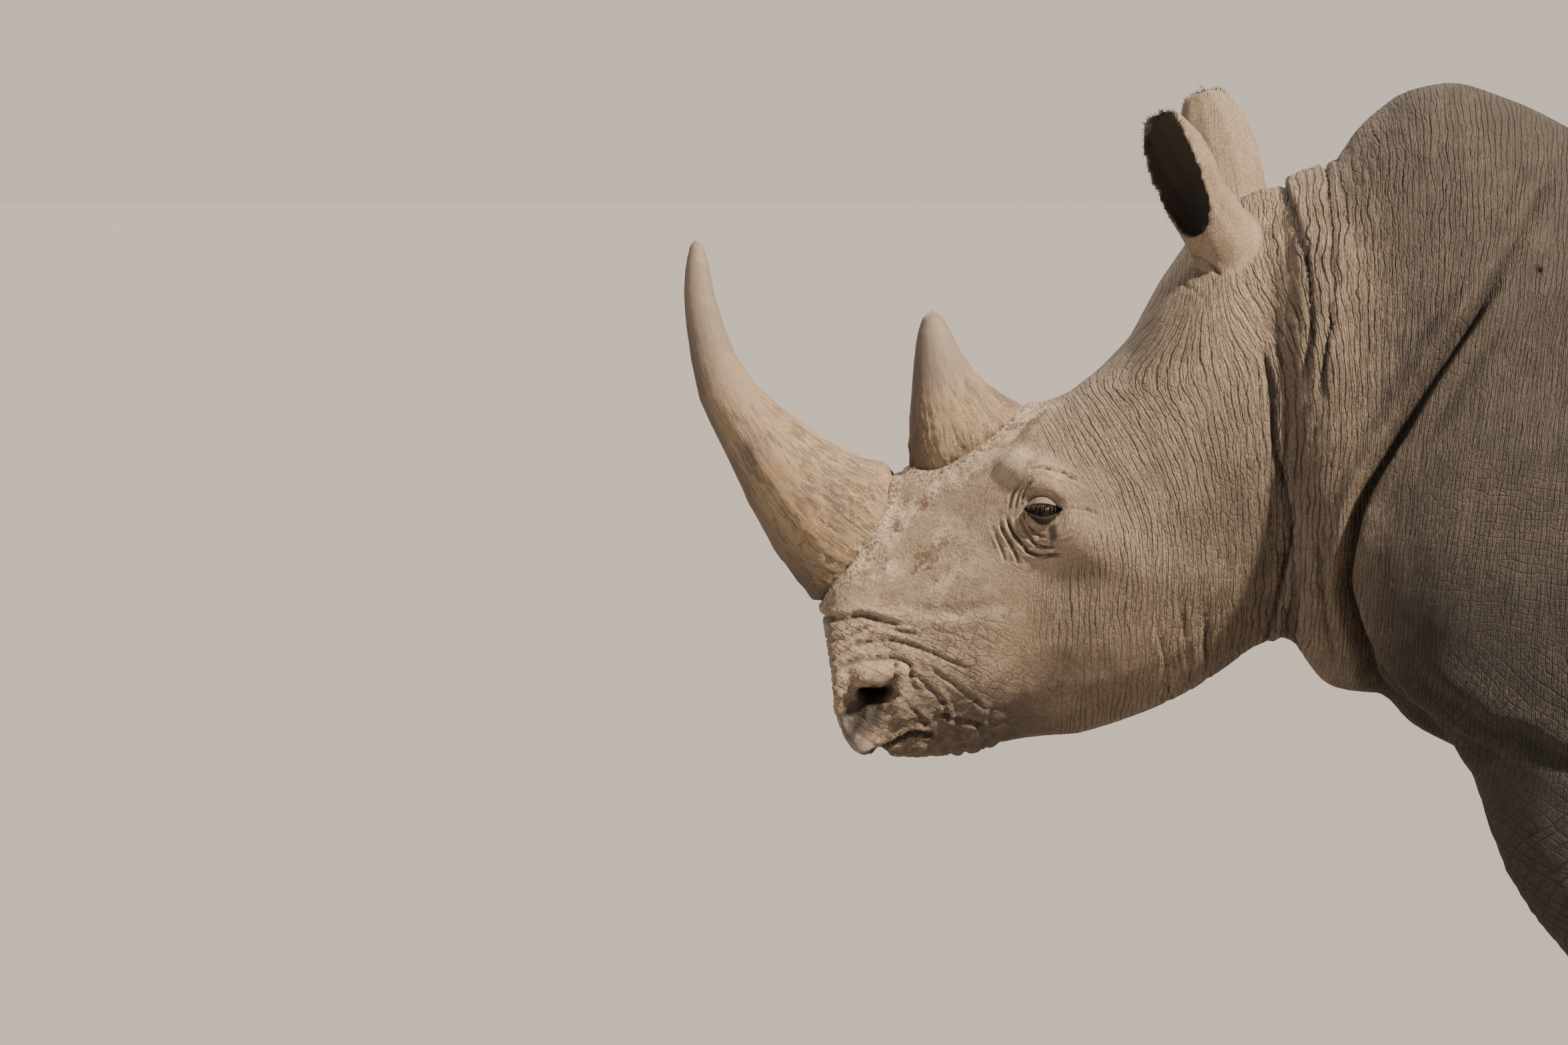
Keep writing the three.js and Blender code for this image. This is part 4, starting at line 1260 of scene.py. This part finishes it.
def colour_skin(mesh):
    """Stores where each wrinkle, stain, bare patch and painted shade of the hide lies."""
    points, normals, edges = points_of(mesh), normals_of(mesh), edges_of(mesh)
    x, _, z = places(points)
    zone = zones(points)
    across, up = flow(points)
    # How far the hide lies in a hollow, for the painted shade there.
    hollow = np.einsum("ij,ij->i", relax(points, edges, 14, 0.5) - points, normals)
    horns = horn_gap(points, 0.09)
    slot, trough = nostril(points)
    inside, painted_shade_and_wet, wet = wet_parts(points, slot, trough)
    ear_inside = ear_cups(points, normals, edges)
    bare = ramp(mound(points, BARE_LINE, 0.0135), 0.25, 0.85) * ramp(x, -0.6, -0.7)
    round_eye = np.arctan2(z - EYE_PLACE[1], x - EYE_PLACE[0])
    hatched = ramp(x, -0.16, 0.05) * ramp(x, 0.7, 0.4) * ramp(z, 1.30, 1.15)
    scurf = ramp(x, -0.48, -0.66) * ramp(z, 0.98, 1.05)
    scurf = scurf * (1 - 0.8 * zone["rings"]) * ramp(horns, 0.085, 0.05)
    scurf = np.maximum(scurf, 0.9 * spot(points, (-0.76, 1.05), (0.09, 0.085)))
    scurf = np.maximum(scurf, 0.5 * spot(points, (-0.64, 1.20), (0.06, 0.06)))
    store(mesh, flow=np.stack([across, points[:, 1] * 0.35, up], axis=1),
          ring_place=np.stack([zone["eye"], 0.05 * round_eye, np.sign(points[:, 1])],
                              axis=1),
          lines=zone["lines"] * (1 - 0.85 * ear_share(points)) * (1 - ear_inside),
          deep=zone["deep"], net=zone["net"], rings=zone["rings"],
          muzzle=zone["muzzle"] * (1 - bare), hatched=hatched * (1 - zone["net"]),
          crust=ramp(horns, 0.034, 0.004) * ramp(x, -0.5, -0.6), scurf=scurf,
          # dark, hollow, trough and inside are masks of painted shade; dark is also the darker
          # hide of the body, and inside also the damp skin under the eye.
          dark=darkness_and_painted_shade(points), hollow=ramp(hollow, 0.0005, 0.0040),
          bare=bare * (1 - inside), trough=ramp(trough, 0.02, 0.38), wet=wet,
          inside=painted_shade_and_wet, ear_inside=ear_inside)


HORNS = {
    # the line through the middle of each horn, and the place in the head it grows from
    "horn_front": ([(-840, 1070), (-930, 1140), (-990, 1205), (-1040, 1280),
                    (-1080, 1370), (-1100, 1450), (-1094, 1520)], (-800, 1040)),
    "horn_rear": ([(-700, 1170), (-715, 1240), (-735, 1300), (-750, 1360),
                   (-765, 1420)], (-680, 1120)),
}


def draw_horn(node, sizes):
    """A horn that sits into the head, rough and fibrous at the base, worn at the tip, with
    painted shade down its front side.
    """
    line, root = HORNS[node]
    mesh = merged([node])
    points = points_of(mesh)
    touching = nearness(points, "head", 0.01) < 0.0015
    way = np.array([HUMP + root[0] / 1000, 0.0, root[1] / 1000]) - points
    way /= np.linalg.norm(way, axis=1)[:, None]
    points[touching] += way[touching] * 0.014
    set_points(mesh, points)
    mesh = remeshed(mesh, sizes.horn_cell * COARSER)
    points = relax(points_of(mesh), edges_of(mesh), 4, 0.5)
    set_points(mesh, points)
    flat = points[:, (0, 2)] - (HUMP, 0)
    near, off, place = along(flat, line, 0.5)
    length = np.linalg.norm(np.diff(curve(line), axis=0), axis=1).sum()
    turn = np.arctan2(points[near, 1], off)
    fibre = np.stack([0.09 * np.cos(turn), 0.09 * np.sin(turn),
                      0.07 * length * place], axis=1)
    foot = ramp(nearness(points, "head", 0.16), 0.15, 0.0)[near]
    lumps = noise(points[near] / 0.030, 61) + 0.5 * noise(points[near] / 0.012, 62)
    ridges = noise(fibre * (1, 1, 2) / 0.006, 63)
    crumbs = noise(points[near] / 0.0055, 67) * foot**2
    move = 0.0020 * lumps * (0.2 + foot) + 0.0012 * ridges * (0.25 + foot)
    move += 0.0009 * crumbs
    points[near] += normals_of(mesh)[near] * move[:, None]
    set_points(mesh, points)
    # front marks the horn's front side, which is painted darker as painted shade.
    store(mesh, fibre=fibre, base=foot, tip=ramp(place, 0.60, 0.95),
          grey=ramp(place + 0.12 * noise(points / 0.05, 64), 0.35, 0.75),
          front=ramp(np.cos(turn), 0.55, 0.98))
    return mesh


def draw_nails(foot, sizes):
    """The three toenails of a foot, with rounded, worn edges."""
    nodes = [f"nail_{foot}_{place}" for place in ("inner", "middle", "outer")]
    mesh = remeshed(merged(nodes), sizes.nail_cell)
    points = relax(points_of(mesh), edges_of(mesh), 8, 0.5)
    set_points(mesh, points)
    bands = noise(points / (0.05, 0.05, 0.011), 71) + noise(points / 0.015, 72)
    points = points + normals_of(mesh) * (0.0007 * bands)[:, None]
    points[:, 2] = np.maximum(points[:, 2], 0.0)
    set_points(mesh, points)
    return mesh, nodes


def draw_eye(node):
    """An eyeball with a raised cornea, looking out and a little forwards."""
    centre = middle(node)
    bm = bmesh.new()
    radius = EYE_RADIUS - 0.0016
    bmesh.ops.create_uvsphere(bm, u_segments=48, v_segments=40, radius=radius)
    look = Vector((-0.22, math.copysign(1.0, centre.y), -0.08)).normalized()
    turn = Vector((0, 0, 1)).rotation_difference(look)
    rings, turns = [], []
    for vert in bm.verts:
        ring = math.hypot(vert.co.x, vert.co.y)
        if vert.co.z < 0:
            ring = radius
        rings.append(ring)
        turns.append(0.012 * math.atan2(vert.co.y, vert.co.x))
        vert.co.z += 0.0010 * max(0.0, 1 - (ring / 0.013) ** 2) * (vert.co.z > 0)
        vert.co.rotate(turn)
        vert.co += centre
    mesh = made_mesh(bm)
    store(mesh, ring=rings, turn=turns)
    return mesh


def strand():
    """One hair of unit length and thickness: its points, faces and height shares."""
    bm = bmesh.new()
    bmesh.ops.create_cone(bm, cap_ends=True, segments=4, radius1=1.0, radius2=0.12,
                          depth=1.0)
    upright = [e for e in bm.edges if abs(e.verts[0].co.z - e.verts[1].co.z) > 0.5]
    bmesh.ops.subdivide_edges(bm, edges=upright, cuts=3, use_grid_fill=True)
    bm.verts.ensure_lookup_table()
    shape = np.array([v.co[:] for v in bm.verts]) + (0, 0, 0.5)
    faces = [[v.index for v in f.verts] for f in bm.faces]
    bm.free()
    return shape, faces


def draw_hairs(name, hairs, spots):
    """Hairs joined in one mesh. Each hair is its root, way, droop, length and
    thickness, and has its own small patch of the map, at its root's spot."""
    shape, faces = strand()
    points, polygons = [], []
    for root, way, droop, length, thick in hairs:
        way = Vector(way).normalized()
        aside = way.orthogonal().normalized()
        other = way.cross(aside)
        t = shape[:, 2:3]
        middle_line = np.array(root) + length * (t * np.array(way)
                                                 + t * t * np.array(droop))
        body = shape[:, :1] * np.array(aside) + shape[:, 1:2] * np.array(other)
        polygons += [[i + len(points) * len(shape) for i in f] for f in faces]
        points.append(middle_line + thick * body)
    mesh = bpy.data.meshes.new(name)
    mesh.from_pydata(np.concatenate(points).tolist(), [], polygons)
    mesh.update()
    layer = mesh.uv_layers.new(name="OFBake")
    corners = np.empty(len(mesh.loops), dtype=np.int32)
    mesh.loops.foreach_get("vertex_index", corners)
    which, part = corners // len(shape), corners % len(shape)
    spots = np.asarray(spots)
    local = np.stack([shape[part, 0] * 0.5 + 0.5, shape[part, 2]], axis=1)
    layer.data.foreach_set("uv", (spots[which] + HAIR_PATCH * local).ravel())
    return mesh


def draw_lashes(sign, sizes):
    """Lashes that hang from the upper lid over the eye."""
    rng = np.random.default_rng(81 + sign)
    hairs, spots = [], []
    for share in np.linspace(0.03, 0.97, LASHES):
        a = -0.0230 + 0.0450 * share + rng.normal(0, 0.0006)
        top, _, bend = eye_slit(a)
        b = top + 0.0006
        out = EYE_OUT + math.sqrt((EYE_RADIUS + 0.0022) ** 2 - a * a - b * b)
        root = (EYE.x + a, sign * out, EYE.z + b)
        way = (-0.20 + 0.6 * (share - 0.5) + rng.normal(0, 0.16), sign * 0.75,
               -0.70 + rng.normal(0, 0.12))
        droop = (rng.normal(0, 0.12), -sign * 0.10, -0.35)
        length = sizes.lash_length * (0.60 + 0.40 * bend) * rng.uniform(0.6, 1.0)
        hairs.append((root, way, droop, length, 0.00060))
        spots.append((0.05 + 0.9 * share, 0.5))
    return draw_hairs("lashes", hairs, spots)


def draw_fringe(side, skin, sizes):
    """Short dark hairs on the rim of an ear."""
    rng = np.random.default_rng(91 + len(side))
    points, normals, edges = points_of(skin), normals_of(skin), edges_of(skin)
    gaps = nearness(points, f"ear_{side}", 0.012)
    turn = np.einsum("ij,ij->i", normals[edges[:, 0]], normals[edges[:, 1]])
    sharp = np.ones(len(points))
    for end in (0, 1):
        np.minimum.at(sharp, edges[:, end], turn)
    low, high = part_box(f"ear_{side}")
    rise = (points[:, 2] - low[2]) / (high[2] - low[2])
    sign = -1 if side == "left" else 1
    foot, tip, _ = ear_line(sign)
    lean = points[:, 0] - foot[0] - (points[:, 2] - foot[2]) * (
        (tip[0] - foot[0]) / (tip[2] - foot[2]))
    edge = (lean < -0.012) | (rise > 0.90)
    rim = np.nonzero((gaps < 0.010) & (sharp < 0.80) & (rise > 0.30) & edge)[0]
    centre = Vector(middle(f"ear_{side}"))
    hairs, spots = [], []
    for index in rng.choice(rim, size=FRINGE_HAIRS):
        share = rise[index]
        if rng.random() > 0.35 + 0.65 * share:
            continue
        root = points[index] - normals[index] * 0.001
        way = Vector(normals[index]) * 0.8 + Vector((-0.15, 0, 0.45))
        way += Vector(rng.normal(0, 0.22, 3))
        length = sizes.fringe_length * (0.45 + 0.55 * share) * rng.uniform(0.5, 1.0)
        hairs.append((root, way, (0, 0, -0.1), length, 0.00030))
        angle = math.atan2(root[1] - centre.y, root[0] - centre.x)
        spots.append((0.5 + 0.46 * angle / math.pi, 0.03 + 0.9 * min(share, 1.0)))
    return draw_hairs(f"ear_fringe_{side}", hairs, spots)


def draw_tuft(skin, sizes):
    """The bristles that edge the end of the tail."""
    rng = np.random.default_rng(97)
    points, normals = points_of(skin), normals_of(skin)
    low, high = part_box("tail")
    end = (high[2] - points[:, 2]) / (high[2] - low[2])
    near = (nearness(points, "tail", 0.02) < 0.015) & (end > 0.66)
    picked = np.nonzero(near & (np.abs(normals[:, 0]) > 0.35))[0]
    hairs, spots = [], []
    for index in rng.choice(picked, size=TUFT_HAIRS):
        share = (end[index] - 0.66) / 0.34
        root = points[index] - normals[index] * 0.002
        way = Vector(normals[index]) * rng.uniform(0.10, 0.42) + Vector((0, 0, -1))
        way += Vector(rng.normal(0, 0.07, 3))
        room = root[2] - low[2] + 0.035
        length = min(sizes.tuft_length * rng.uniform(0.5, 1.0), room)
        hairs.append((root, way, (0, 0, -0.12), length, 0.0009))
        angle = math.atan2(normals[index][1], normals[index][0])
        spots.append((0.5 + 0.47 * angle / math.pi, 0.05 + 0.88 * min(share, 1.0)))
    return draw_hairs("tail_tuft", hairs, spots)


# ------------------------------------------------------------ operators


def settings():
    scene = bpy.context.scene
    return scene.rhino_sizes, scene.rhino_colours, scene.rhino_studio


def aim(name, data, at, azimuth, elevation, distance):
    """A camera or lamp that looks at a place from two angles, in radians."""
    thing = bpy.data.objects.new(name, data)
    back = Vector((math.sin(azimuth) * math.cos(elevation),
                   -math.cos(azimuth) * math.cos(elevation), math.sin(elevation)))
    thing.location = Vector((HUMP + at[0], 0, at[1])) + back * distance
    thing.rotation_euler = (-back).to_track_quat("-Z", "Y").to_euler()
    bpy.context.scene.collection.objects.link(thing)
    return thing


def light_room(strength):
    """A room that is pale near the floor and dark above."""
    world = bpy.data.worlds.new("studio")
    world.use_nodes = True
    tree = world.node_tree
    sky = tree.nodes["Background"]
    sky.inputs["Strength"].default_value = strength
    place = tree.nodes.new("ShaderNodeTexCoord").outputs["Generated"]
    apart = tree.nodes.new("ShaderNodeSeparateXYZ")
    fade = tree.nodes.new("ShaderNodeValToRGB")
    low, high = fade.color_ramp.elements
    low.position, low.color = 0.03, (0.976, 0.823, 0.691, 1)
    high.position, high.color = 0.30, (0.080, 0.088, 0.102, 1)
    tree.links.new(place, apart.inputs[0])
    tree.links.new(apart.outputs["Z"], fade.inputs[0])
    tree.links.new(fade.outputs[0], sky.inputs["Color"])
    bpy.context.scene.world = world


class RHINO_OT_stage(bpy.types.Operator):
    """Make the camera, the lamps and the pale floor"""

    bl_idname = "rhino.stage"
    bl_label = "Studio"

    def execute(self, context):
        studio = settings()[2]
        data = bpy.data.cameras.new("camera")
        data.lens, data.sensor_width = studio.lens, 36.0
        data.clip_start, data.clip_end = 0.1, 300.0
        context.scene.camera = aim("camera", data, CAMERA_AIM, 0.0, studio.elevation,
                                   studio.distance)
        for name, (azimuth, elevation, spread, tint) in LAMPS.items():
            data = bpy.data.lights.new(f"{name}_lamp", "SUN")
            data.angle, data.color = math.radians(spread), tint
            data.energy = getattr(studio, f"{name}_power")
            aim(f"{name}_lamp", data, LAMP_AIM, math.radians(azimuth),
                math.radians(elevation), LAMP_DISTANCE)
        light_room(studio.sky)
        bm = bmesh.new()
        bmesh.ops.create_circle(bm, cap_ends=True, segments=96, radius=FLOOR_RADIUS)
        mesh = made_mesh(bm, "floor")
        mesh.materials.append(floor_material())
        floor = bpy.data.objects.new("floor", mesh)
        context.scene.collection.objects.link(floor)
        return {"FINISHED"}


class RHINO_OT_skin(bpy.types.Operator):
    """Draw one skin over all the flesh, with its folds and colours"""

    bl_idname = "rhino.skin"
    bl_label = "Skin"

    def execute(self, context):
        sizes, colours, _ = settings()
        mesh = thinned(draw_skin(sizes), sizes.skin_faces // (1))
        points = points_of(mesh)
        points[:, 2] = np.maximum(points[:, 2], 0.0)
        set_points(mesh, points)
        colour_skin(mesh)
        place_object("skin", mesh, "hide", hide_material(colours), *FLESH)
        return {"FINISHED"}


class RHINO_OT_horns(bpy.types.Operator):
    """Make the two horns"""

    bl_idname = "rhino.horns"
    bl_label = "Horns"

    def execute(self, context):
        sizes, colours, _ = settings()
        material = horn_material(colours)
        for node in HORNS:
            name = node.replace("horn_", "") + "_horn"
            place_object(name, draw_horn(node, sizes), "horn", material, node)
        return {"FINISHED"}


class RHINO_OT_eyes(bpy.types.Operator):
    """Make the eyeballs and the lashes"""

    bl_idname = "rhino.eyes"
    bl_label = "Eyes"

    def execute(self, context):
        sizes, colours, _ = settings()
        wet = eye_material(colours)
        dusty = hair_material("lash", colours.lash, colours)
        for side, sign in zip(SIDES, (-1, 1)):
            node = f"eye_{side}"
            place_object(f"eyeball_{side}", draw_eye(node), "eye", wet, node)
            place_object(f"lashes_{side}", draw_lashes(sign, sizes), "hide", dusty)
        return {"FINISHED"}


class RHINO_OT_nails(bpy.types.Operator):
    """Make the toenails"""

    bl_idname = "rhino.nails"
    bl_label = "Toenails"

    def execute(self, context):
        sizes, colours, _ = settings()
        material = nail_material(colours)
        for foot in FEET:
            mesh, nodes = draw_nails(foot, sizes)
            place_object(f"nails_{foot}", mesh, "nail", material, *nodes)
        return {"FINISHED"}


class RHINO_OT_hair(bpy.types.Operator):
    """Make the fringes of the ears and the tuft of the tail"""

    bl_idname = "rhino.hair"
    bl_label = "Hair"

    def execute(self, context):
        sizes, colours, _ = settings()
        skin = bpy.data.objects["skin"].data
        dark = hair_material("hair", colours.hair, colours)
        for side in SIDES:
            mesh = draw_fringe(side, skin, sizes)
            place_object(f"ear_fringe_{side}", mesh, "hide", dark)
        place_object("tail_tuft", draw_tuft(skin, sizes), "hide", dark)
        return {"FINISHED"}


class RHINO_PT_panel(bpy.types.Panel):
    """The pieces of the rhinoceros, with their sizes and colours"""

    bl_idname = "RHINO_PT_panel"
    bl_label = "White rhinoceros"
    bl_space_type = "VIEW_3D"
    bl_region_type = "UI"
    bl_category = "Rhinoceros"

    def draw(self, context):
        for operator in OPERATORS:
            self.layout.operator(operator.bl_idname)
        for group in settings():
            column = self.layout.column()
            for name in group.bl_rna.properties.keys():
                if name not in ("rna_type", "name"):
                    column.prop(group, name)


OPERATORS = (RHINO_OT_stage, RHINO_OT_skin, RHINO_OT_horns, RHINO_OT_eyes,
             RHINO_OT_nails, RHINO_OT_hair)
GROUPS = {"rhino_sizes": RhinoSizes, "rhino_colours": RhinoColours,
          "rhino_studio": RhinoStudio}


def register():
    for cls in (*GROUPS.values(), *OPERATORS, RHINO_PT_panel):
        bpy.utils.register_class(cls)
    for name, group in GROUPS.items():
        setattr(bpy.types.Scene, name, PointerProperty(type=group))


def unregister():
    for name in GROUPS:
        delattr(bpy.types.Scene, name)
    for cls in (RHINO_PT_panel, *reversed(OPERATORS), *GROUPS.values()):
        bpy.utils.unregister_class(cls)


def main():
    register()
    bpy.ops.rhino.stage()
    bpy.ops.rhino.skin()
    bpy.ops.rhino.horns()
    bpy.ops.rhino.eyes()
    bpy.ops.rhino.nails()
    bpy.ops.rhino.hair()


if __name__ == "__main__":
    main()
